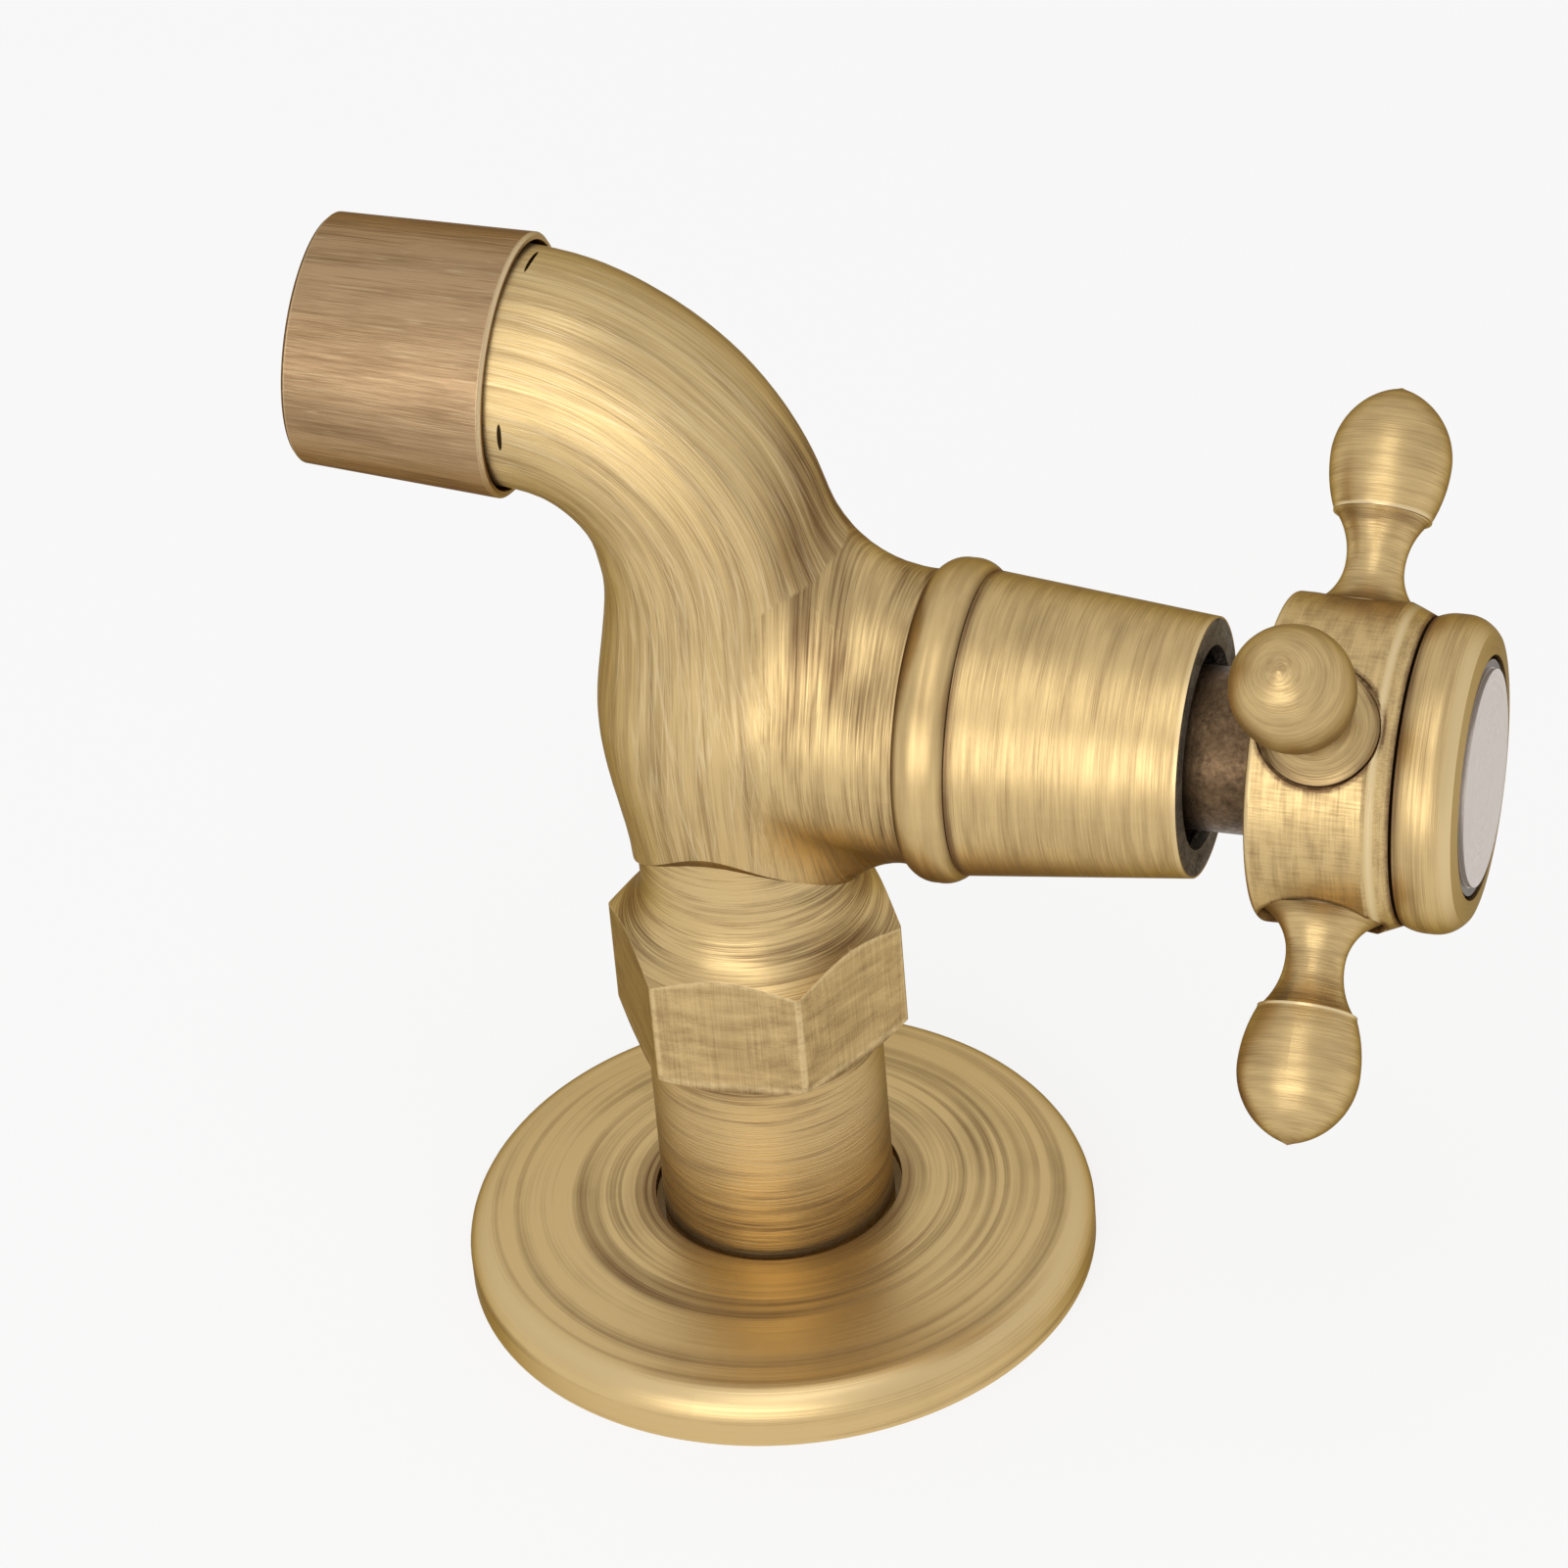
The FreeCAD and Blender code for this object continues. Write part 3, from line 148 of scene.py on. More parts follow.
class TapDetail(bpy.types.PropertyGroup):
    """Sizes of the details that the solids leave out"""
    thread_pitch: length("Thread pitch", "Distance between inlet thread crests", 1.814 * MILLI)
    thread_crest: length("Thread crest", "Height of a crest above the threaded shank",
                         0.28 * MILLI)
    wire_pitch: length("Screen pitch", "Distance between wires of the outlet screen",
                       0.62 * MILLI)
    wire_radius: length("Wire radius", "Radius of one wire of the outlet screen", 0.11 * MILLI)


class TapStage(bpy.types.PropertyGroup):
    """Floor, lamps and camera"""
    floor_size: length("Floor", "Side of the pale floor that the flange stands on", 6.0)
    floor_tone: colour("Floor tone", "Colour of the pale floor", (0.96, 0.96, 0.96))
    floor_white: FloatProperty(
        name="Floor white", description="Share of plain white seen in the floor",
        default=0.8, min=0.0, max=1.0, subtype="FACTOR")
    overhead_power: FloatProperty(
        name="Overhead box", description="Soft lamp above the camera", default=1.0)
    low_power: FloatProperty(
        name="Low box", description="Soft lamp below the camera, near the floor", default=2.8)
    lens: FloatProperty(name="Lens", description="Focal length", default=164.63, unit="CAMERA")


def with_alpha(value):
    """A plain colour with full alpha; sockets and numbers come back as they are."""
    if isinstance(value, (bpy.types.NodeSocket, float, int)) or len(value) != 3:
        return value
    return tuple(value) + (1.0,)


def toned(tone, share):
    """A colour made darker or lighter."""
    return tuple(min(1.0, share * part) for part in tone)


class Graph:
    """Short ways to add and wire shader nodes in one tree."""

    def __init__(self, tree):
        self.tree = tree

    def node(self, kind, **settings):
        made = self.tree.nodes.new(f"ShaderNode{kind}")
        for name, value in settings.items():
            setattr(made, name, value)
        return made

    def wire(self, value, socket):
        """Link a socket or set a plain value; None leaves the socket as it is."""
        if isinstance(value, bpy.types.NodeSocket):
            self.tree.links.new(value, socket)
        elif value is not None:
            socket.default_value = value

    def wire_all(self, values, sockets):
        for value, socket in zip(values, sockets):
            self.wire(value, socket)

    def maths(self, operation, *values):
        made = self.node("Math", operation=operation)
        self.wire_all(values, made.inputs)
        return made.outputs[0]

    def times(self, first, second):
        return self.maths("MULTIPLY", first, second)

    def plus(self, first, second):
        return self.maths("ADD", first, second)

    def minus(self, first, second):
        return self.maths("SUBTRACT", first, second)

    def add_share(self, value, share, total):
        """A share of a value on top of a total."""
        return self.maths("MULTIPLY_ADD", value, share, total)

    def most(self, first, *others):
        """Highest of several values."""
        for other in others:
            first = self.maths("MAXIMUM", first, other)
        return first

    def chord(self, radius, away):
        """Half the width of a circle at a distance from its centre."""
        left = self.minus(radius ** 2, self.times(away, away))
        return self.maths("SQRT", self.most(left, 0.0))

    def vectors(self, operation, first, second=None):
        made = self.node("VectorMath", operation=operation)
        self.wire(first, made.inputs[0])
        self.wire(second, made.inputs["Scale"] if operation == "SCALE" else made.inputs[1])
        return made.outputs["Value" if operation in ("LENGTH", "DOT_PRODUCT") else "Vector"]

    def split(self, vector):
        made = self.node("SeparateXYZ")
        self.wire(vector, made.inputs[0])
        return made.outputs

    def join(self, x=0.0, y=0.0, z=0.0):
        made = self.node("CombineXYZ")
        self.wire_all((x, y, z), made.inputs)
        return made.outputs[0]

    def noise(self, vector, scale=1.0, detail=2.0, roughness=0.5, w=None):
        made = self.node("TexNoise", noise_dimensions="3D" if w is None else "4D")
        self.wire(vector, made.inputs["Vector"])
        if w is not None:
            self.wire(w, made.inputs["W"])
        self.wire(scale, made.inputs["Scale"])
        self.wire(detail, made.inputs["Detail"])
        self.wire(roughness, made.inputs["Roughness"])
        return made.outputs[0]

    def spread(self, value, low=0.0, high=1.0, start=0.0, end=1.0):
        """Straight change from start to end as value goes from low to high."""
        made = self.node("MapRange", clamp=True)
        self.wire_all((value, low, high, start, end), made.inputs)
        return made.outputs[0]

    def fade(self, value, low, high, start=0.0, end=1.0):
        """Smooth change from start to end as value goes from low to high."""
        made = self.node("MapRange", interpolation_type="SMOOTHSTEP")
        self.wire_all((value, low, high, start, end), made.inputs)
        return made.outputs[0]

    def below(self, value, limit, soft, strength=1.0):
        """Strength below a limit, fading out over a soft width past it."""
        return self.fade(value, limit, limit + soft, strength, 0.0)

    def above(self, value, limit, soft, strength=1.0):
        """Strength above a limit, fading out over a soft width before it."""
        return self.fade(value, limit - soft, limit, 0.0, strength)

    def near(self, value, centre, width, strength=1.0):
        """Strength at a centre, fading out a width away on both sides."""
        away = self.maths("ABSOLUTE", self.minus(value, centre))
        return self.fade(away, 0.0, width, strength, 0.0)

    def mix(self, share, first, second):
        """Mix of two numbers, which are a Mix node's inputs 2 and 3."""
        made = self.node("Mix", data_type="FLOAT")
        self.wire_all((share, first, second), (made.inputs[0], made.inputs[2], made.inputs[3]))
        return made.outputs[0]

    def tint(self, share, first, second):
        """Mix of two colours, which are a Mix node's inputs 6 and 7."""
        made = self.node("Mix", data_type="RGBA")
        self.wire_all((share, with_alpha(first), with_alpha(second)),
                      (made.inputs[0], made.inputs[6], made.inputs[7]))
        return made.outputs[2]

    def group(self, name, **values):
        """Outputs of a node group; _ in the name of an input stands for a space."""
        made = self.node("Group", node_tree=bpy.data.node_groups[name])
        for socket_name, value in values.items():
            socket = made.inputs[socket_name.replace("_", " ")]
            self.wire(with_alpha(value) if socket.type == "RGBA" else value, socket)
        return made.outputs


def new_group(name, inputs, outputs):
    """An empty node group with named sockets; returns its graph, inputs and outputs."""
    tree = bpy.data.node_groups.new(name, "ShaderNodeTree")
    for in_out, sockets in (("INPUT", inputs), ("OUTPUT", outputs)):
        for socket_name, kind, *default in sockets:
            socket = tree.interface.new_socket(name=socket_name, in_out=in_out,
                                               socket_type=f"NodeSocket{kind}")
            if default:
                socket.default_value = default[0]
    given = tree.nodes.new("NodeGroupInput").outputs
    return Graph(tree), given, tree.nodes.new("NodeGroupOutput").inputs


def make_turned_brush():
    """Brush lines that run round an axis: local Z is the axis, lengths are millimetres."""
    graph, given, out = new_group("Turned brush", [
        ("Local", "Vector"), ("Line width", "Float", 0.16), ("Changes round", "Float", 2.0)],
        [("Lines", "Float"), ("Bands", "Float")])
    band_share = 0.13
    x, y, z = graph.split(given["Local"])
    flat = graph.join(x, y, 0.0)
    radius = graph.vectors("LENGTH", flat)
    around = graph.vectors("SCALE", graph.vectors("NORMALIZE", flat), given["Changes round"])
    around_x, around_y, _ = graph.split(around)
    height = graph.maths("DIVIDE", z, given["Line width"])
    reach = graph.maths("DIVIDE", radius, given["Line width"])
    lines = graph.noise(graph.join(around_x, around_y, height), roughness=0.6, w=reach)
    slow_height = graph.times(height, band_share)
    slow_reach = graph.times(reach, band_share)
    bands = graph.noise(graph.join(around_x, around_y, slow_height), w=slow_reach)
    graph.wire(graph.spread(lines, low=0.25, high=0.75), out["Lines"])
    graph.wire(graph.spread(bands, *NOISE_RANGE), out["Bands"])


def make_stroke_brush():
    """Brush lines along one direction: Across holds two sideways lengths, Along the third."""
    graph, given, out = new_group("Stroke brush", [
        ("Across", "Vector"), ("Along", "Float"), ("Line width", "Float", 0.2),
        ("Stroke", "Float", 14.0)],
        [("Lines", "Float"), ("Bands", "Float")])
    band_share, band_stroke = 0.14, 0.8
    u, v, _ = graph.split(given["Across"])
    u = graph.maths("DIVIDE", u, given["Line width"])
    v = graph.maths("DIVIDE", v, given["Line width"])
    along = graph.maths("DIVIDE", given["Along"], given["Stroke"])
    lines = graph.noise(graph.join(u, v, along), detail=2.5, roughness=0.6)
    slow = graph.join(graph.times(u, band_share), graph.times(v, band_share),
                      graph.times(along, band_stroke))
    bands = graph.noise(slow)
    graph.wire(graph.spread(lines, low=0.27, high=0.73), out["Lines"])
    graph.wire(graph.spread(bands, *NOISE_RANGE), out["Bands"])


def make_scratches():
    """Thin single scratches that start and stop; Tilt leans them off the brushing."""
    graph, given, out = new_group("Loose scratches", [
        ("Across", "Vector"), ("Along", "Float"), ("Spacing", "Float", 1.2),
        ("Length", "Float", 16.0), ("Tilt", "Float", 0.1)],
        [("Scratches", "Float")])
    elsewhere = (17.3, 5.1, 2.7)
    lean = graph.node("VectorRotate", rotation_type="Z_AXIS")
    graph.wire(given["Across"], lean.inputs["Vector"])
    aside = graph.times(given["Along"], given["Tilt"])
    graph.wire(graph.maths("DIVIDE", aside, SPOUT_RADIUS), lean.inputs["Angle"])
    u, v, _ = graph.split(lean.outputs[0])
    spot = graph.join(graph.maths("DIVIDE", u, given["Spacing"]),
                      graph.maths("DIVIDE", v, given["Spacing"]),
                      graph.maths("DIVIDE", given["Along"], given["Length"]))
    thin = graph.near(graph.noise(spot, detail=0.0), centre=0.5, width=0.08)
    patches = graph.noise(graph.vectors("ADD", spot, elsewhere), scale=1.3, detail=1.0)
    stops = graph.above(patches, limit=0.6, soft=0.13)
    graph.wire(graph.times(thin, stops), out["Scratches"])


def make_antique_brass():
    """Brass under brown patina: brushing, wear and hollows decide how much brown is left; the
    Hollow input also carries painted shade and the Worn input painted highlights.
    """
    graph, given, out = new_group("Antique brass", [
        ("Place", "Vector"), ("Lines", "Float", 0.5), ("Bands", "Float", 0.5),
        ("Hollow", "Float"), ("Worn", "Float"), ("Scratch", "Float"), ("Depth", "Float", 0.5),
        ("Gold", "Color"), ("Brown", "Color"), ("Pale", "Color")],
        [("Colour", "Color"), ("Roughness", "Float"), ("Height", "Float")])
    brown_all_over, band_share, cloud_share = 0.19, 0.7, 0.16
    scratch_share, bare_share = 0.45, 0.85
    gold_rough, brown_rough, line_rough = 0.36, 0.50, 0.10
    least_rough, most_rough = 0.12, 0.9
    mottle = graph.noise(given["Place"], scale=0.16, detail=4.0, roughness=0.6)
    cloud = graph.spread(mottle, *NOISE_RANGE, start=-0.5, end=0.5)
    middle = 0.5
    lines = graph.minus(middle, given["Lines"])
    bands = graph.minus(middle, given["Bands"])
    brown = graph.add_share(lines, given["Depth"], brown_all_over)
    brown = graph.add_share(bands, graph.times(given["Depth"], band_share), brown)
    brown = graph.add_share(cloud, cloud_share, brown)
    brown = graph.plus(brown, given["Hollow"])
    brown = graph.spread(graph.minus(brown, given["Worn"]))
    shown = graph.tint(brown, given["Gold"], given["Brown"])
    bare = graph.most(given["Worn"], graph.times(given["Scratch"], scratch_share))
    shown = graph.tint(graph.spread(bare, end=bare_share), shown, given["Pale"])
    rough = graph.add_share(lines, line_rough, graph.mix(brown, gold_rough, brown_rough))
    rough = graph.spread(rough, least_rough, most_rough, least_rough, most_rough)
    graph.wire(shown, out["Colour"])
    graph.wire(rough, out["Roughness"])
    graph.wire(given["Lines"], out["Height"])


def make_grain():
    """Fine speckle for moulded, cast, ceramic, steel and rubber surfaces."""
    graph, given, out = new_group("Fine grain", [
        ("Place", "Vector"), ("Grain size", "Float", 0.4), ("Light", "Color"), ("Dark", "Color")],
        [("Colour", "Color"), ("Grain", "Float")])
    size = given["Grain size"]
    place = graph.vectors("DIVIDE", given["Place"], graph.join(size, size, size))
    grain = graph.noise(place, detail=3.0, roughness=0.6)
    patch = graph.noise(place, scale=0.15)
    half = 0.5
    share = graph.add_share(patch, half, graph.times(grain, half))
    shown = graph.tint(graph.spread(share, *NOISE_RANGE), given["Dark"], given["Light"])
    graph.wire(shown, out["Colour"])
    graph.wire(graph.spread(grain, low=0.25, high=0.75), out["Grain"])


def new_material(name):
    """A material with a bare shader; returns it, its graph, the shader and the place in mm."""
    made = bpy.data.materials.new(name)
    made.use_nodes = True
    made.node_tree.nodes.clear()
    graph = Graph(made.node_tree)
    shader = graph.node("BsdfPrincipled")
    graph.wire(shader.outputs[0], graph.node("OutputMaterial").inputs["Surface"])
    place = graph.vectors("SCALE", graph.node("TexCoord").outputs["Object"], 1 / MILLI)
    return made, graph, shader, place


def raise_surface(graph, shader, height, depth, normal=None):
    """Bump the surface by a depth in millimetres, over a given normal if there is one."""
    bump = graph.node("Bump")
    graph.wire(depth * MILLI, bump.inputs["Distance"])
    graph.wire(height, bump.inputs["Height"])
    graph.wire(normal, bump.inputs["Normal"])
    graph.wire(bump.outputs[0], shader.inputs["Normal"])


def make_metal(shader, finish):
    """Metal that loses its shine towards its outline."""
    shader.inputs["Metallic"].default_value = 1.0
    shader.inputs["Specular Tint"].default_value = with_alpha(finish.edge)


def antique(graph, finish, place, lines, bands, patina_and_shade, wear_and_highlight, depth, gold=None, scratch=0.0):
    """Colour, roughness and height of patinated brass."""
    return graph.group("Antique brass", Place=place, Lines=lines, Bands=bands, Hollow=patina_and_shade,
                       Worn=wear_and_highlight, Scratch=scratch, Depth=depth, Gold=gold or finish.gold,
                       Brown=finish.brown, Pale=finish.pale)


def brass_shader(graph, shader, finish, brass, relief, slit_shade=None, normal=None):
    """Wire patinated brass to the shader, with painted shade of slits darkening its colour if
    there is any.
    """
    shown = brass["Colour"]
    if slit_shade is not None:
        slit_shade_tone = toned(finish.brown, 0.15)
        shown = graph.tint(slit_shade, shown, slit_shade_tone)
    graph.wire(shown, shader.inputs["Base Color"])
    graph.wire(brass["Roughness"], shader.inputs["Roughness"])
    make_metal(shader, finish)
    raise_surface(graph, shader, brass["Height"], relief, normal)


def true_round(graph, place, share):
    """Normal straight away from the inlet axis where share is 1, without the mesh's seam."""
    x, _, z = graph.split(place)
    given = graph.node("TexCoord").outputs["Normal"]
    _, lean, _ = graph.split(given)
    outward = graph.vectors("NORMALIZE", graph.join(x, 0.0, z))
    away = graph.vectors("SCALE", outward, graph.chord(1.0, lean))
    rounded = graph.vectors("ADD", away, graph.join(0.0, lean, 0.0))
    change = graph.vectors("SUBTRACT", rounded, given)
    turned = graph.vectors("ADD", given, graph.vectors("SCALE", change, share))
    to_world = graph.node("VectorTransform", vector_type="NORMAL", convert_from="OBJECT",
                          convert_to="WORLD")
    graph.wire(turned, to_world.inputs[0])
    return to_world.outputs[0]


def on_tower(graph, place):
    """Place relative to the tower axis."""
    return graph.vectors("ADD", place, (0.0, TOWER_REACH, 0.0))


def on_inlet(graph, place):
    """Place with local Z out of the wall along the inlet axis."""
    x, y, z = graph.split(place)
    return graph.join(x, z, graph.times(y, -1.0))


def on_outlet(graph, place):
    """Place with local Z along the outlet axis, zero at the spout's end."""
    x, y, z = graph.split(place)
    out = graph.minus(graph.times(y, -1.0), OUTLET_REACH)
    up = graph.minus(z, OUTLET_HEIGHT)
    out_share, up_share = math.cos(BEND_TURN), -math.sin(BEND_TURN)
    along = graph.plus(graph.times(out, out_share), graph.times(up, up_share))
    side = graph.plus(graph.times(out, -up_share), graph.times(up, out_share))
    return graph.join(x, side, along)


def on_arm(graph, place):
    """Place relative to the nearest arm's axis, with local Z along the arm."""
    x, y, z = graph.split(on_tower(graph, place))
    quarter = math.pi / 2
    turn = graph.minus(graph.maths("ARCTAN2", y, x), ARM_TURN)
    turn = graph.maths("FLOORED_MODULO", graph.plus(turn, quarter / 2), quarter)
    turn = graph.minus(turn, quarter / 2)
    reach = graph.vectors("LENGTH", graph.join(x, y, 0.0))
    sideways = graph.times(reach, graph.maths("SINE", turn))
    outward = graph.times(reach, graph.maths("COSINE", turn))
    return graph.join(sideways, graph.minus(z, ARM_HEIGHT), outward)


def radius_of(graph, local):
    """Distance from the local Z axis."""
    x, y, _ = graph.split(local)
    return graph.vectors("LENGTH", graph.join(x, y, 0.0))


def dress(material, *nodes):
    """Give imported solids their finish."""
    for name in nodes:
        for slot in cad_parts[name].material_slots:
            slot.material = material


def add_mesh(name, draw, body, material):
    """A new piece drawn in a bmesh, riding on a body."""
    built = bmesh.new()
    draw(built, bpy.context.scene.tap_detail)
    bmesh.ops.recalc_face_normals(built, faces=built.faces)
    mesh = bpy.data.meshes.new(name)
    built.to_mesh(mesh)
    built.free()
    for face in mesh.polygons:
        face.use_smooth = True
    piece = bpy.data.objects.new(name, mesh)
    bpy.context.scene.collection.objects.link(piece)
    mesh.materials.append(material)
    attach(piece, body)
    return piece


def follow_spout(graph, place):
    """Lengths round and along the waterway: level up to the bend, then down with it."""
    x, y, z = graph.split(place)
    reach = graph.times(y, -1.0)
    out = graph.minus(reach, BEND_START)
    up = graph.plus(z, BEND_RADIUS)
    bent = graph.maths("GREATER_THAN", out, 0.0)
    turn = graph.maths("ARCTAN2", out, up)
    from_line = graph.minus(graph.vectors("LENGTH", graph.join(0.0, out, up)), BEND_RADIUS)
    offset = graph.mix(bent, z, from_line)
    along = graph.mix(bent, reach, graph.add_share(turn, BEND_RADIUS, BEND_START))
    way = graph.vectors("NORMALIZE", graph.join(x, offset, 0.0))
    return graph.vectors("SCALE", way, SPOUT_RADIUS), along


def brushed_round_tower(graph, place):
    """Share of the casting brushed round the tower, with a ragged border."""
    _, _, z = graph.split(place)
    border = graph.noise(place, scale=0.35, detail=3.0, roughness=0.6)
    ragged = graph.spread(border, *NOISE_RANGE, start=-1.2, end=1.2)
    ragged_outside = 0.15
    upper = graph.above(graph.plus(z, ragged), limit=7.5, soft=3.0)
    radius = radius_of(graph, on_tower(graph, place))
    radius = graph.add_share(ragged, ragged_outside, radius)
    return graph.times(upper, graph.below(radius, limit=TOWER_BRUSHED - 0.2, soft=0.4))


def past_crease(graph, place):
    """Distance past the crease where the inlet's neck meets the bulb."""
    x, y, _ = graph.split(place)
    crease = graph.minus(BELLY_REACH, graph.chord(BELLY_RADIUS, x))
    return graph.minus(graph.times(y, -1.0), crease)


def hexagon_sides(graph, place):
    """How far a point lies out towards its own side of the hexagon, and towards the next."""
    away = []
    for side in range(3):
        angle = HEX_TURN + side * math.pi / 3
        across = graph.vectors("DOT_PRODUCT", place, (math.cos(angle), 0.0, math.sin(angle)))
        away.append(graph.maths("ABSOLUTE", across))
    larger = graph.most(away[0], away[1])
    smaller = graph.maths("MINIMUM", away[0], away[1])
    second = graph.most(smaller, graph.maths("MINIMUM", larger, away[2]))
    return graph.most(larger, away[2]), second


def spout_scratches(graph, across, along):
    """Scratches of the spout, in sets that lean different ways."""
    sets = []
    for spacing, stretch, tilt in SPOUT_SCRATCHES:
        scratched = graph.group("Loose scratches", Across=across, Along=along, Spacing=spacing,
                                Length=stretch, Tilt=tilt)
        sets.append(scratched["Scratches"])
    return graph.most(*sets)


def outlet_slit_shade(graph, place):
    """Painted shade of two short slits on the spout behind the sleeve, dark in colour only."""
    x, side, along = graph.split(on_outlet(graph, place))
    around = graph.maths("ARCTAN2", side, x)
    long_slit_shade = graph.times(
        graph.near(along, centre=-1.9, width=0.26),
        graph.near(around, centre=math.radians(95.0), width=math.radians(17.0)))
    short_slit_shade = graph.times(
        graph.near(along, centre=-2.2, width=0.34),
        graph.near(around, centre=math.radians(-2.0), width=math.radians(12.0)))
    return graph.above(graph.most(long_slit_shade, short_slit_shade), limit=0.4, soft=0.15)


def blend_patina_and_shade(graph, x, z, reach):
    """Brown along the blend between tower and spout, partly patina in the fillet and partly
    painted shade laid over a lamp highlight there; it rises towards both sides.
    """
    level_half, level_height, slope = 6.2, 9.2, 1.3
    aside = graph.most(graph.minus(graph.maths("ABSOLUTE", x), level_half), 0.0)
    height = graph.add_share(aside, slope, level_height)
    patina_and_shade_band = graph.near(graph.minus(z, height), centre=0.0, width=5.6, strength=0.5)
    return graph.times(patina_and_shade_band, graph.above(reach, limit=75.0, soft=8.0))


def cast_brass(finish):
    """Casting: strokes on bulb and spout, lines round tower, neck and shank, hatched hexagon."""
    made, graph, shader, place = new_material("cast_brass")
    x, y, z = graph.split(place)
    reach = graph.times(y, -1.0)
    inlet_place = on_inlet(graph, place)
    radius = radius_of(graph, inlet_place)

    # Zones
    tower_share = brushed_round_tower(graph, place)
    from_crease = past_crease(graph, place)
    inlet_share = graph.below(from_crease, limit=-0.1, soft=0.2)
    in_hexagon = graph.times(graph.maths("GREATER_THAN", reach, HEX_START - 0.1),
                             graph.maths("LESS_THAN", reach, NECK_START))
    to_side, to_next = hexagon_sides(graph, place)
    flat = graph.times(in_hexagon, graph.above(to_side, limit=HEX_HALF - 0.02, soft=0.04))
    deep_in_cove = graph.fade(reach, low=NECK_START - COVE_RADIUS, high=NECK_START - 4.0)
    in_cove = graph.times(graph.minus(in_hexagon, flat), deep_in_cove)
    past_cove = graph.minus(inlet_share, graph.maths("LESS_THAN", reach, NECK_START))

    # Brush lines of each zone
    across, along = follow_spout(graph, place)
    coarse = graph.group("Stroke brush", Across=across, Along=along, Line_width=0.14, Stroke=15.0)
    fine = graph.group("Stroke brush", Across=across, Along=along, Line_width=0.08, Stroke=8.0)
    tower_x, tower_y, _ = graph.split(on_tower(graph, place))
    tower_way = graph.vectors("NORMALIZE", graph.join(tower_x, tower_y, 0.0))
    tower_way = graph.vectors("ADD", tower_way, graph.join(0.0, 0.0, z))
    tower = graph.group("Turned brush", Local=tower_way, Line_width=0.16, Changes_round=1.8)
    inlet = graph.group("Turned brush", Local=inlet_place, Line_width=0.14, Changes_round=1.1)
    hatch = graph.group("Stroke brush", Across=graph.join(x, z, 0.0), Along=reach,
                        Line_width=0.16, Stroke=6.0)
    fine_share, hatch_share = 0.45, 0.55
    strokes = graph.mix(fine_share, coarse["Lines"], fine["Lines"])
    hatched = graph.mix(hatch_share, inlet["Lines"], hatch["Lines"])
    lines = graph.mix(tower_share, strokes, tower["Lines"])
    lines = graph.mix(flat, graph.mix(inlet_share, lines, inlet["Lines"]), hatched)
    bands = graph.mix(tower_share, coarse["Bands"], tower["Bands"])
    bands = graph.mix(inlet_share, bands, inlet["Bands"])
    spout_depth, tower_depth, inlet_depth, flat_depth = 0.8, 0.9, 1.15, 0.6
    depth = graph.mix(inlet_share, graph.mix(tower_share, spout_depth, tower_depth),
                      graph.mix(flat, inlet_depth, flat_depth))
    on_spout = graph.minus(1.0, graph.most(tower_share, inlet_share))
    scratch = graph.times(spout_scratches(graph, across, along), on_spout)

    # Bare worn edges of the hexagon, and painted highlights that lighten stretches of shank and
    # neck
    cove = graph.chord(COVE_RADIUS, graph.minus(reach, NECK_START))
    under_cove = graph.minus(graph.minus(NECK_RADIUS + COVE_RADIUS, cove), radius)
    arch = graph.times(flat, graph.below(under_cove, limit=0.05, soft=0.7))
    corner = graph.times(graph.above(under_cove, limit=0.3, soft=0.22),
                         graph.below(graph.minus(to_side, to_next), limit=0.15, soft=0.35))
    low_edge = graph.near(reach, centre=HEX_START + 0.75, width=0.6)
    edges = graph.times(in_hexagon, graph.most(arch, corner, low_edge))
    ragged = graph.noise(place, scale=1.1, detail=3.0, roughness=0.6)
    ragged = graph.spread(ragged, low=0.3, high=0.65, start=0.08, end=0.4)
    # Painted highlight: paler bands on the shank and the neck where lamps and floor shine on them
    shank_painted_highlight = graph.near(reach, centre=19.0, width=9.0, strength=0.22)
    neck_painted_highlight = graph.near(reach, centre=48.5, width=4.5, strength=0.12)
    painted_highlight = graph.most(shank_painted_highlight, graph.times(neck_painted_highlight, inlet_share))
    wear_and_highlight = graph.most(graph.times(edges, ragged),
                      graph.times(painted_highlight, graph.minus(1.0, in_hexagon)))

    # Brown in the hollows, partly patina and partly painted shade on the neck's sides, the shank's
    # foot and the blend; less brown where shank and neck carry painted highlights
    under_hexagon = graph.near(reach, centre=HEX_START - 0.6, width=2.4, strength=0.55)
    crease = graph.near(from_crease, centre=0.0, width=0.6, strength=0.05)
    by_bead = graph.above(z, limit=TOWER_TOP, soft=5.0, strength=0.30)
    # Partly patina, partly painted shade: the shank darkens towards the flange
    shank_foot_patina_and_shade = graph.below(reach, limit=5.0, soft=10.0, strength=0.16)
    # Painted shade: the neck and cove darken towards both sides, where they turn away from the
    # light
    side = graph.above(graph.maths("ABSOLUTE", z), limit=10.0, soft=7.0, strength=0.3)
    neck_side_shade = graph.times(side, graph.most(in_cove, past_cove))
    patina_and_shade = graph.most(under_hexagon, crease, by_bead, shank_foot_patina_and_shade,
                        blend_patina_and_shade(graph, x, z, reach), neck_side_shade)
    # Painted highlight: less brown on the same stretches of shank and neck
    less_brown = graph.most(graph.near(reach, centre=18.0, width=9.0, strength=0.06),
                         graph.near(reach, centre=48.0, width=5.0, strength=0.06))
    brown_on_flats = 0.1
    patina_and_shade = graph.minus(graph.add_share(flat, brown_on_flats, patina_and_shade), less_brown)

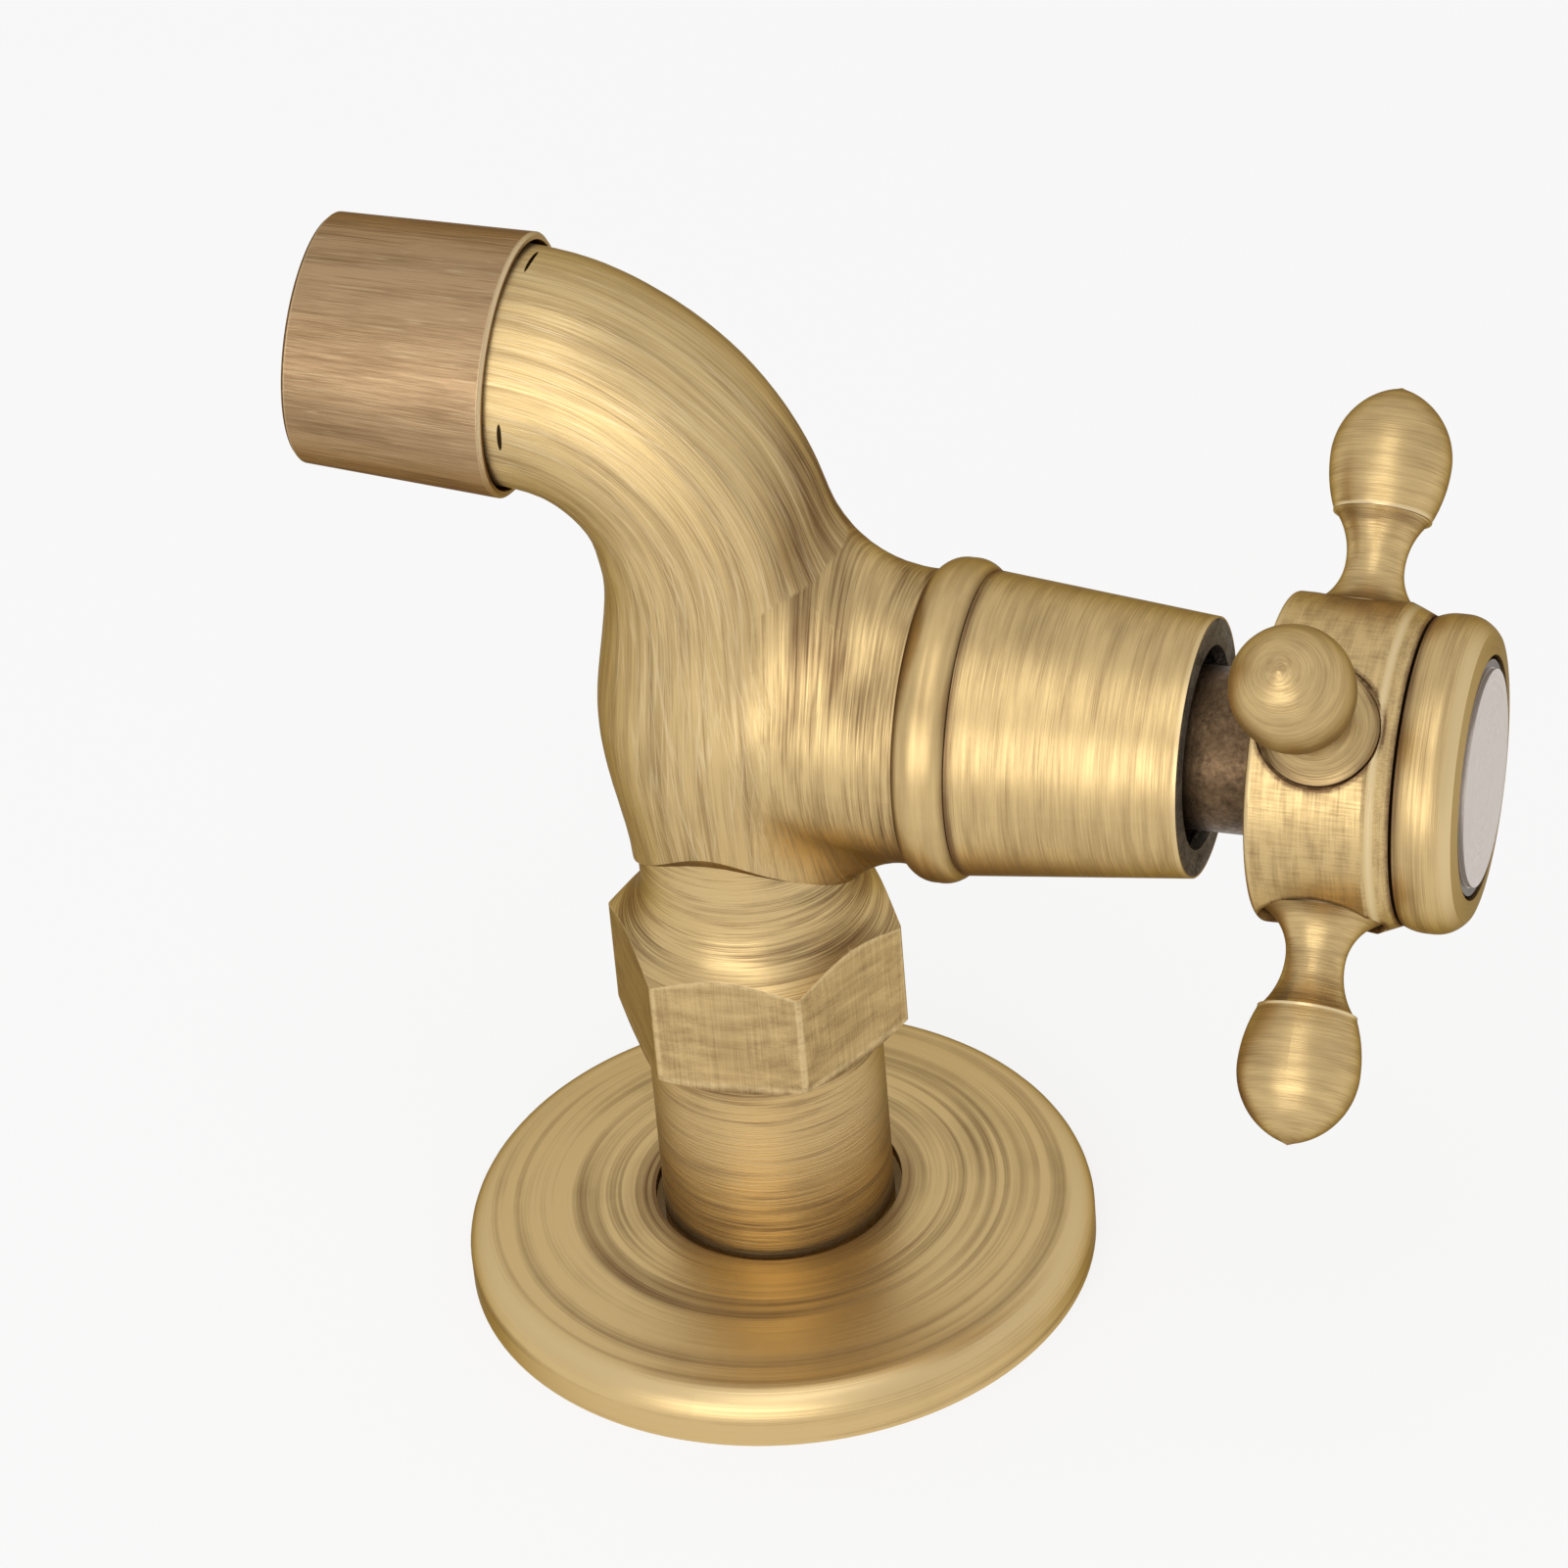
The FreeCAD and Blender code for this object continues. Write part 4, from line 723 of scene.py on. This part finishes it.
    outer_skin = graph.maths("GREATER_THAN", radius, NECK_RADIUS - 0.3)
    turned_share = graph.times(graph.minus(inlet_share, flat), outer_skin)
    brass = antique(graph, finish, place, lines, bands, patina_and_shade, wear_and_highlight, depth, scratch=scratch)
    brass_shader(graph, shader, finish, brass, relief=0.026, slit_shade=outlet_slit_shade(graph, place),
                 normal=true_round(graph, place, graph.spread(turned_share)))
    return made


def flange_brass(finish):
    """Flange: coarse rings of gold and brown, bare on the shoulder."""
    made, graph, shader, place = new_material("flange_brass")
    local = on_inlet(graph, place)
    radius = radius_of(graph, local)
    fine = graph.group("Turned brush", Local=local, Line_width=0.18, Changes_round=0.7)
    coarse = graph.group("Turned brush", Local=local, Line_width=0.7, Changes_round=0.4)
    wide = graph.group("Turned brush", Local=local, Line_width=1.1, Changes_round=0.35)
    coarse_share, wide_share, less_brown = 0.5, 0.32, 0.14
    lines = graph.mix(coarse_share, fine["Lines"], coarse["Lines"])
    lines = graph.mix(wide_share, lines, graph.fade(wide["Lines"], low=0.25, high=0.75))
    shoulder = graph.near(radius, centre=FLANGE_RADIUS - 1.3, width=1.5, strength=0.28)
    by_hole = graph.below(radius, limit=FLANGE_HOLE, soft=1.6, strength=0.35)
    brass = antique(graph, finish, place, lines, coarse["Bands"], depth=1.35,
                    patina_and_shade=graph.minus(by_hole, less_brown), wear_and_highlight=shoulder)
    brass_shader(graph, shader, finish, brass, relief=0.035)
    return made


def shroud_brass(finish):
    """Shroud: fine turned lines, patina beside the bead, raw casting on its end."""
    made, graph, shader, place = new_material("shroud_brass")
    local = on_tower(graph, place)
    _, _, z = graph.split(place)
    brush = graph.group("Turned brush", Local=local, Line_width=0.11, Changes_round=1.8)
    polished_lines, raw_rough, raw_relief = 0.62, 0.62, 6.0
    bead = graph.below(z, limit=BEAD_TOP - 0.3, soft=0.4, strength=0.75)
    lines = graph.mix(bead, brush["Lines"], polished_lines)
    groove = graph.near(z, centre=BEAD_TOP + 0.1, width=0.8, strength=0.75)
    foot = graph.near(z, centre=TOWER_TOP, width=0.9, strength=0.6)
    rim = graph.near(z, centre=SHROUD_TOP - 0.1, width=0.45, strength=0.4)
    brass = antique(graph, finish, place, lines, brush["Bands"], graph.most(groove, foot), rim,
                    depth=0.55)
    raw = graph.group("Fine grain", Place=place, Grain_size=0.35, Light=finish.casting,
                      Dark=(0.10, 0.09, 0.08))
    outside = graph.spread(z, BEAD_TOP, SHROUD_TOP, SHROUD_FOOT_RADIUS, SHROUD_TOP_RADIUS)
    inward = graph.minus(radius_of(graph, local), outside)
    face = graph.times(graph.maths("GREATER_THAN", z, BEAD_TOP),
                       graph.below(inward, limit=-0.22, soft=0.12))
    graph.wire(graph.tint(face, brass["Colour"], raw["Colour"]), shader.inputs["Base Color"])
    graph.wire(graph.mix(face, brass["Roughness"], raw_rough), shader.inputs["Roughness"])
    make_metal(shader, finish)
    height = graph.mix(face, brass["Height"], graph.times(raw["Grain"], raw_relief))
    raise_surface(graph, shader, height, depth=0.012)
    return made


def hub_brass(finish):
    """Hub: fine cross hatching, bright bevel, dark sockets."""
    made, graph, shader, place = new_material("hub_brass")
    local = on_tower(graph, place)
    x, y, z = graph.split(local)
    turned = graph.group("Turned brush", Local=local, Line_width=0.15, Changes_round=4.0)
    strokes = graph.group("Stroke brush", Across=graph.join(x, y, 0.0), Along=z,
                          Line_width=0.19, Stroke=3.0)
    stroke_share = 0.5
    lines = graph.mix(stroke_share, turned["Lines"], strokes["Lines"])
    bevel = graph.near(z, centre=HUB_HIGH - 1.6, width=0.5, strength=0.75)
    low = graph.near(z, centre=HUB_LOW, width=0.8, strength=0.45)
    joint = graph.above(z, limit=HUB_HIGH, soft=0.5, strength=0.8)
    from_arm = radius_of(graph, on_arm(graph, place))
    socket = graph.below(from_arm, limit=SOCKET_RADIUS + 0.05, soft=0.45, strength=0.7)
    brass = antique(graph, finish, place, lines, turned["Bands"], graph.most(joint, socket),
                    graph.most(bevel, low), depth=0.75)
    brass_shader(graph, shader, finish, brass, relief=0.02)
    return made


def arm_brass(finish):
    """Arms: turned lines, a bare ridge under the ball, brown below it and at the foot, and painted
    shade as brown at the tip.
    """
    made, graph, shader, place = new_material("arm_brass")
    local = on_arm(graph, place)
    _, _, outward = graph.split(local)
    brush = graph.group("Turned brush", Local=local, Line_width=0.12, Changes_round=0.9)
    ridge = graph.near(outward, centre=ARM_COLLAR + 0.15, width=0.28, strength=0.95)
    under = graph.near(outward, centre=ARM_COLLAR - 0.7, width=0.9, strength=0.3)
    foot = graph.below(outward, limit=ARM_FOOT, soft=1.6, strength=0.6)
    tip_shade = graph.above(outward, limit=ARM_TIP, soft=1.2, strength=0.18)
    brass = antique(graph, finish, place, brush["Lines"], brush["Bands"],
                    graph.most(under, foot, tip_shade), ridge, depth=0.52)
    brass_shader(graph, shader, finish, brass, relief=0.018)
    return made


def cap_brass(finish):
    """Cap: turned lines, pale bevel, brown under its edge and round the plate."""
    made, graph, shader, place = new_material("cap_brass")
    local = on_tower(graph, place)
    _, _, z = graph.split(place)
    brush = graph.group("Turned brush", Local=local, Line_width=0.12, Changes_round=1.3)
    bevel = graph.above(z, limit=CAP_HIGH - 0.5, soft=1.2, strength=0.45)
    under = graph.below(z, limit=CAP_LOW - 0.1, soft=1.0, strength=0.7)
    seat = graph.below(radius_of(graph, local), limit=PLATE_SEAT - 0.1, soft=0.3)
    brown_in_seat = 0.95
    brass = antique(graph, finish, place, brush["Lines"], brush["Bands"], depth=0.6,
                    patina_and_shade=graph.most(under, graph.times(seat, brown_in_seat)),
                    wear_and_highlight=graph.times(bevel, graph.minus(1.0, seat)))
    brass_shader(graph, shader, finish, brass, relief=0.016)
    return made


def index_enamel(finish):
    """Index plate: blank and faintly turned, brown on its stepped rim."""
    made, graph, shader, place = new_material("index_enamel")
    local = on_tower(graph, place)
    brush = graph.group("Turned brush", Local=local, Line_width=0.22, Changes_round=4.0)
    shown = graph.tint(brush["Lines"], toned(finish.enamel, 0.86), finish.enamel)
    rim = graph.above(radius_of(graph, local), limit=PLATE_FACE + 0.15, soft=0.15)
    shown = graph.tint(rim, shown, toned(finish.brown, 0.4))
    graph.wire(shown, shader.inputs["Base Color"])
    graph.wire(graph.spread(brush["Lines"], start=0.42, end=0.34), shader.inputs["Roughness"])
    shader.inputs["Metallic"].default_value = 0.75
    raise_surface(graph, shader, brush["Lines"], depth=0.004)
    return made


def dark_stem(finish):
    """Stem: mottled brown patina that was never brushed."""
    made, graph, shader, place = new_material("dark_stem")
    brush = graph.group("Turned brush", Local=on_tower(graph, place), Line_width=0.5,
                        Changes_round=2.0)
    patches = graph.group("Fine grain", Place=place, Grain_size=0.55,
                          Light=toned(finish.stem, 1.9), Dark=toned(finish.stem, 0.45))
    graph.wire(patches["Colour"], shader.inputs["Base Color"])
    graph.wire(graph.spread(patches["Grain"], start=0.5, end=0.3), shader.inputs["Roughness"])
    shader.inputs["Metallic"].default_value = 1.0
    grain_share = 0.6
    height = graph.mix(grain_share, brush["Lines"], patches["Grain"])
    raise_surface(graph, shader, height, depth=0.02)
    return made


def sleeve_bronze(finish):
    """Sleeve: coarse strokes along its axis, bare edges at both rims, dark inside."""
    made, graph, shader, place = new_material("sleeve_bronze")
    local = on_outlet(graph, place)
    x, side, along = graph.split(local)
    across = graph.join(x, side, 0.0)
    coarse = graph.group("Stroke brush", Across=across, Along=along, Line_width=0.28, Stroke=18.0)
    fine = graph.group("Stroke brush", Across=across, Along=along, Line_width=0.10, Stroke=10.0)
    fine_share, faint = 0.4, 0.45
    lines = graph.mix(fine_share, coarse["Lines"], fine["Lines"])
    scratched = graph.group("Loose scratches", Across=across, Along=along, Spacing=0.45,
                            Length=12.0, Tilt=0.01)
    back = graph.near(along, centre=SLEEVE_BACK + 0.15, width=0.32, strength=0.75)
    front = graph.near(along, centre=SLEEVE_FRONT - 0.15, width=0.3, strength=0.75)
    inside = graph.below(radius_of(graph, local), limit=SLEEVE_BORE - 0.05, soft=0.08,
                         strength=0.75)
    brass = antique(graph, finish, place, lines, coarse["Bands"], inside,
                    graph.minus(graph.most(back, front), inside), depth=1.1, gold=finish.bronze,
                    scratch=graph.times(scratched["Scratches"], faint))
    brass_shader(graph, shader, finish, brass, relief=0.036)
    return made


def plain_brass(finish):
    """Headwork and spindle: machined brass without patina."""
    made, graph, shader, place = new_material("plain_brass")
    brush = graph.group("Turned brush", Local=on_tower(graph, place), Line_width=0.25,
                        Changes_round=1.0)
    shown = graph.tint(brush["Lines"], toned(finish.bare_brass, 0.6), finish.bare_brass)
    graph.wire(shown, shader.inputs["Base Color"])
    graph.wire(graph.spread(brush["Bands"], start=0.2, end=0.36), shader.inputs["Roughness"])
    shader.inputs["Metallic"].default_value = 1.0
    raise_surface(graph, shader, brush["Lines"], depth=0.01)
    return made


def grained(name, light, grain_size, rough, relief, metallic=0.0):
    """Rubber, plastic, ceramic or steel with a fine speckle; rough goes from dark to light."""
    made, graph, shader, place = new_material(name)
    grain = graph.group("Fine grain", Place=place, Grain_size=grain_size, Light=light,
                        Dark=toned(light, 0.72))
    graph.wire(grain["Colour"], shader.inputs["Base Color"])
    graph.wire(graph.spread(grain["Grain"], start=rough[0], end=rough[1]),
               shader.inputs["Roughness"])
    shader.inputs["Metallic"].default_value = metallic
    raise_surface(graph, shader, grain["Grain"], relief)
    return made


def draw_thread(built, detail):
    """One helix round the inlet, running out over a turn at both ends."""
    pitch = detail.thread_pitch
    steps = 72
    total = steps * int(THREAD_LENGTH * MILLI / pitch)
    sunk = 0.06 * MILLI
    root = THREAD_RADIUS * MILLI - sunk
    crest = THREAD_RADIUS * MILLI + detail.thread_crest
    half_root, half_crest = 0.42, 0.10
    rings = []
    for step in range(total + 1):
        angle = 2 * math.pi * step / steps
        middle = THREAD_START * MILLI + pitch * step / steps
        lift = min(1.0, step / steps, (total - step) / steps)
        tall = root + (crest - root) * lift
        profile = ((root, -half_root), (tall, -half_crest), (tall, half_crest), (root, half_root))
        ring = []
        for radius, share in profile:
            ring.append(built.verts.new((radius * math.cos(angle), -(middle + share * pitch),
                                         radius * math.sin(angle))))
        rings.append(ring)
    for here, following in zip(rings, rings[1:]):
        for side in range(4):
            after = (side + 1) % 4
            built.faces.new((here[side], here[after], following[after], following[side]))
    built.faces.new(rings[0])
    built.faces.new(reversed(rings[-1]))


def draw_screen(built, detail):
    """Wires woven over and under each other across the outlet."""
    pitch = detail.wire_pitch
    radius = detail.wire_radius
    wide = SCREEN_RADIUS * MILLI
    count = int(wide / pitch)
    sides, steps_per_pitch, least_steps = 5, 2, 4
    outlet = Matrix.Translation((0.0, -OUTLET_REACH * MILLI, OUTLET_HEIGHT * MILLI))
    outlet = outlet @ Matrix.Rotation(math.pi / 2 + BEND_TURN, 4, "X")
    for crossing in (False, True):
        for number in range(-count, count + 1):
            offset = number * pitch
            half = math.sqrt(max(wide ** 2 - offset ** 2, 0.0))
            steps = max(least_steps, int(steps_per_pitch * 2 * half / pitch))
            before = None
            for step in range(steps + 1):
                along = -half + 2 * half * step / steps
                wave = math.cos(math.pi * along / pitch) * (-1) ** number * (-1 if crossing else 1)
                lift = SCREEN_HEIGHT * MILLI + wave * radius
                ring = []
                for corner in range(sides):
                    angle = 2 * math.pi * corner / sides
                    side = offset + radius * math.cos(angle)
                    up = lift + radius * math.sin(angle)
                    spot = (along, side, up) if crossing else (side, along, up)
                    ring.append(built.verts.new(outlet @ Vector(spot)))
                if before:
                    for corner in range(sides):
                        after = (corner + 1) % sides
                        built.faces.new((before[corner], before[after], ring[after], ring[corner]))
                before = ring


class TAP_OT_casting(bpy.types.Operator):
    """Brush the cast body and draw its inlet thread"""
    bl_idname = "wall_tap.casting"
    bl_label = "Casting"

    def execute(self, context):
        material = cast_brass(context.scene.tap_finish)
        dress(material, "body")
        add_mesh("inlet_thread", draw_thread, "tap", material)
        return {"FINISHED"}


class TAP_OT_flange(bpy.types.Operator):
    """Brush the wall flange"""
    bl_idname = "wall_tap.flange"
    bl_label = "Wall flange"

    def execute(self, context):
        dress(flange_brass(context.scene.tap_finish), "wall_flange")
        return {"FINISHED"}


class TAP_OT_shroud(bpy.types.Operator):
    """Turn the shroud and leave its end as cast"""
    bl_idname = "wall_tap.shroud"
    bl_label = "Valve shroud"

    def execute(self, context):
        dress(shroud_brass(context.scene.tap_finish), "valve_shroud")
        return {"FINISHED"}


class TAP_OT_handle(bpy.types.Operator):
    """Finish hub, arms, cap, index plate and stem"""
    bl_idname = "wall_tap.handle"
    bl_label = "Cross handle"

    def execute(self, context):
        finish = context.scene.tap_finish
        dress(hub_brass(finish), "handle_hub")
        dress(arm_brass(finish), "handle_arm_1", "handle_arm_2", "handle_arm_3", "handle_arm_4")
        dress(cap_brass(finish), "handle_cap")
        dress(index_enamel(finish), "index_plate")
        dress(dark_stem(finish), "handle_stem")
        return {"FINISHED"}


class TAP_OT_outlet(bpy.types.Operator):
    """Brush the outlet sleeve and weave the aerator's screen"""
    bl_idname = "wall_tap.outlet"
    bl_label = "Outlet"

    def execute(self, context):
        finish = context.scene.tap_finish
        dress(sleeve_bronze(finish), "nozzle_sleeve")
        dress(grained("grey_plastic", finish.housing, grain_size=0.3, rough=(0.5, 0.38),
                      relief=0.006), "aerator_housing")
        steel = grained("steel_screen", finish.steel, grain_size=0.25, rough=(0.38, 0.24),
                        relief=0.004, metallic=1.0)
        dress(steel, "aerator_screen_1", "aerator_screen_2")
        screen = add_mesh("outlet_screen", draw_screen, "tap", steel)
        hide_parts("aerator_screen_1")
        return {"FINISHED"}


class TAP_OT_valve(bpy.types.Operator):
    """Finish the headwork, discs, seals and small metal parts"""
    bl_idname = "wall_tap.valve"
    bl_label = "Valve"

    def execute(self, context):
        finish = context.scene.tap_finish
        dress(plain_brass(finish), "headwork", "spindle")
        dress(grained("ceramic", finish.ceramic, grain_size=0.5, rough=(0.3, 0.2), relief=0.002),
              "fixed_disc", "moving_disc")
        dress(grained("black_rubber", finish.rubber, grain_size=0.3, rough=(0.75, 0.6),
                      relief=0.01),
              "seat_seal", "headwork_seal", "spindle_ring_lower", "spindle_ring_upper",
              "outlet_washer")
        dress(grained("white_plastic", finish.plastic, grain_size=0.4, rough=(0.55, 0.42),
                      relief=0.005), "thrust_washer", "aerator_jet_plate")
        dress(grained("spring_steel", finish.steel, grain_size=0.3, rough=(0.42, 0.28),
                      relief=0.005, metallic=1.0), "circlip", "handle_screw", "screw_washer")
        return {"FINISHED"}


class TAP_OT_stage(bpy.types.Operator):
    """Set the floor, the soft lamps, the pale surroundings and the camera"""
    bl_idname = "wall_tap.stage"
    bl_label = "Stage"

    def execute(self, context):
        settings = context.scene.tap_stage
        make_floor(settings)
        make_surroundings(context.scene)
        add_lamp("overhead_box", place=(0.37, -0.85, 0.07), size=(0.7, 0.42),
                 power=settings.overhead_power)
        add_lamp("low_box", place=(0.85, -0.22, 0.0), size=(0.7, 0.8), power=settings.low_power)
        add_camera(context.scene, settings.lens)
        context.scene.view_settings.view_transform = "Standard"
        return {"FINISHED"}


def seen_or_mirrored(graph):
    """1 for rays from the camera, off metal or through glass, otherwise 0."""
    path = graph.node("LightPath").outputs
    return graph.most(path["Is Camera Ray"], path["Is Transmission Ray"], path["Is Glossy Ray"])


def make_floor(settings):
    """The pale plane that the flange stands on: only matt under it, and clear from behind."""
    half = settings.floor_size / 2
    corners = [(-half, 0.0, -half), (half, 0.0, -half), (half, 0.0, half), (-half, 0.0, half)]
    mesh = bpy.data.meshes.new("floor")
    mesh.from_pydata(corners, [], [(0, 1, 2, 3)])
    floor = bpy.data.objects.new("floor", mesh)
    bpy.context.scene.collection.objects.link(floor)
    material = bpy.data.materials.new("pale_floor")
    material.use_nodes = True
    material.node_tree.nodes.clear()
    graph = Graph(material.node_tree)
    matt = graph.node("BsdfDiffuse")
    matt.inputs["Color"].default_value = with_alpha(settings.floor_tone)
    away = graph.vectors("LENGTH", graph.node("TexCoord").outputs["Object"])
    flange = FLANGE_RADIUS * MILLI
    white = graph.above(away, limit=flange, soft=0.4 * flange, strength=settings.floor_white)
    front = graph.node("MixShader")
    graph.wire_all((graph.times(seen_or_mirrored(graph), white), matt.outputs[0],
                    graph.node("Emission").outputs[0]), front.inputs)
    both = graph.node("MixShader")
    graph.wire_all((graph.node("NewGeometry").outputs["Backfacing"], front.outputs[0],
                    graph.node("BsdfTransparent").outputs[0]), both.inputs)
    graph.wire(both.outputs[0], graph.node("OutputMaterial").inputs["Surface"])
    mesh.materials.append(material)


def make_surroundings(scene):
    """Pale grey all round, a little dimmer as light than it is to the camera and to metal."""
    seen_strength, light_strength = 1.0, 0.75
    world = bpy.data.worlds.new("pale_studio")
    world.use_nodes = True
    world.node_tree.nodes.clear()
    graph = Graph(world.node_tree)
    light = graph.node("Background")
    light.inputs["Color"].default_value = (0.8, 0.8, 0.8, 1.0)
    graph.wire(graph.mix(seen_or_mirrored(graph), light_strength, seen_strength),
               light.inputs["Strength"])
    graph.wire(light.outputs[0], graph.node("OutputWorld").inputs["Surface"])
    scene.world = world


def add_lamp(name, place, size, power):
    """A soft rectangular lamp that faces the tap."""
    lamp = bpy.data.lights.new(name, "AREA")
    lamp.shape = "RECTANGLE"
    lamp.size, lamp.size_y = size
    lamp.energy = power
    made = bpy.data.objects.new(name, lamp)
    made.location = place
    made.rotation_euler = (LAMP_AIM - Vector(place)).to_track_quat("-Z", "Y").to_euler()
    bpy.context.scene.collection.objects.link(made)


def add_camera(scene, lens):
    """The photograph's camera."""
    optics = bpy.data.cameras.new("photo_camera")
    optics.lens = lens
    optics.sensor_width = 36.0
    optics.clip_start = 0.01
    camera = bpy.data.objects.new("photo_camera", optics)
    back = CAMERA_RIGHT.cross(CAMERA_UP)
    turned = Matrix((CAMERA_RIGHT, CAMERA_UP, back)).transposed().to_4x4()
    camera.matrix_world = Matrix.Translation(CAMERA_PLACE) @ turned
    scene.collection.objects.link(camera)
    scene.camera = camera


OPERATORS = (TAP_OT_casting, TAP_OT_flange, TAP_OT_shroud, TAP_OT_handle, TAP_OT_outlet,
             TAP_OT_valve, TAP_OT_stage)


class TAP_PT_panel(bpy.types.Panel):
    """Steps that dress the wall tap"""
    bl_idname = "TAP_PT_panel"
    bl_label = "Wall Tap"
    bl_space_type = "VIEW_3D"
    bl_region_type = "UI"
    bl_category = "Wall Tap"

    def draw(self, context):
        for operator in OPERATORS:
            self.layout.operator(operator.bl_idname)


CLASSES = (TapFinish, TapDetail, TapStage, *OPERATORS, TAP_PT_panel)


def register():
    for item in CLASSES:
        bpy.utils.register_class(item)
    bpy.types.Scene.tap_finish = PointerProperty(type=TapFinish)
    bpy.types.Scene.tap_detail = PointerProperty(type=TapDetail)
    bpy.types.Scene.tap_stage = PointerProperty(type=TapStage)


def unregister():
    del bpy.types.Scene.tap_finish
    del bpy.types.Scene.tap_detail
    del bpy.types.Scene.tap_stage
    for item in reversed(CLASSES):
        bpy.utils.unregister_class(item)


def main():
    register()
    make_turned_brush()
    make_stroke_brush()
    make_scratches()
    make_antique_brass()
    make_grain()
    bpy.ops.wall_tap.casting()
    bpy.ops.wall_tap.flange()
    bpy.ops.wall_tap.shroud()
    bpy.ops.wall_tap.handle()
    bpy.ops.wall_tap.outlet()
    bpy.ops.wall_tap.valve()
    bpy.ops.wall_tap.stage()


if __name__ == "__main__":
    main()
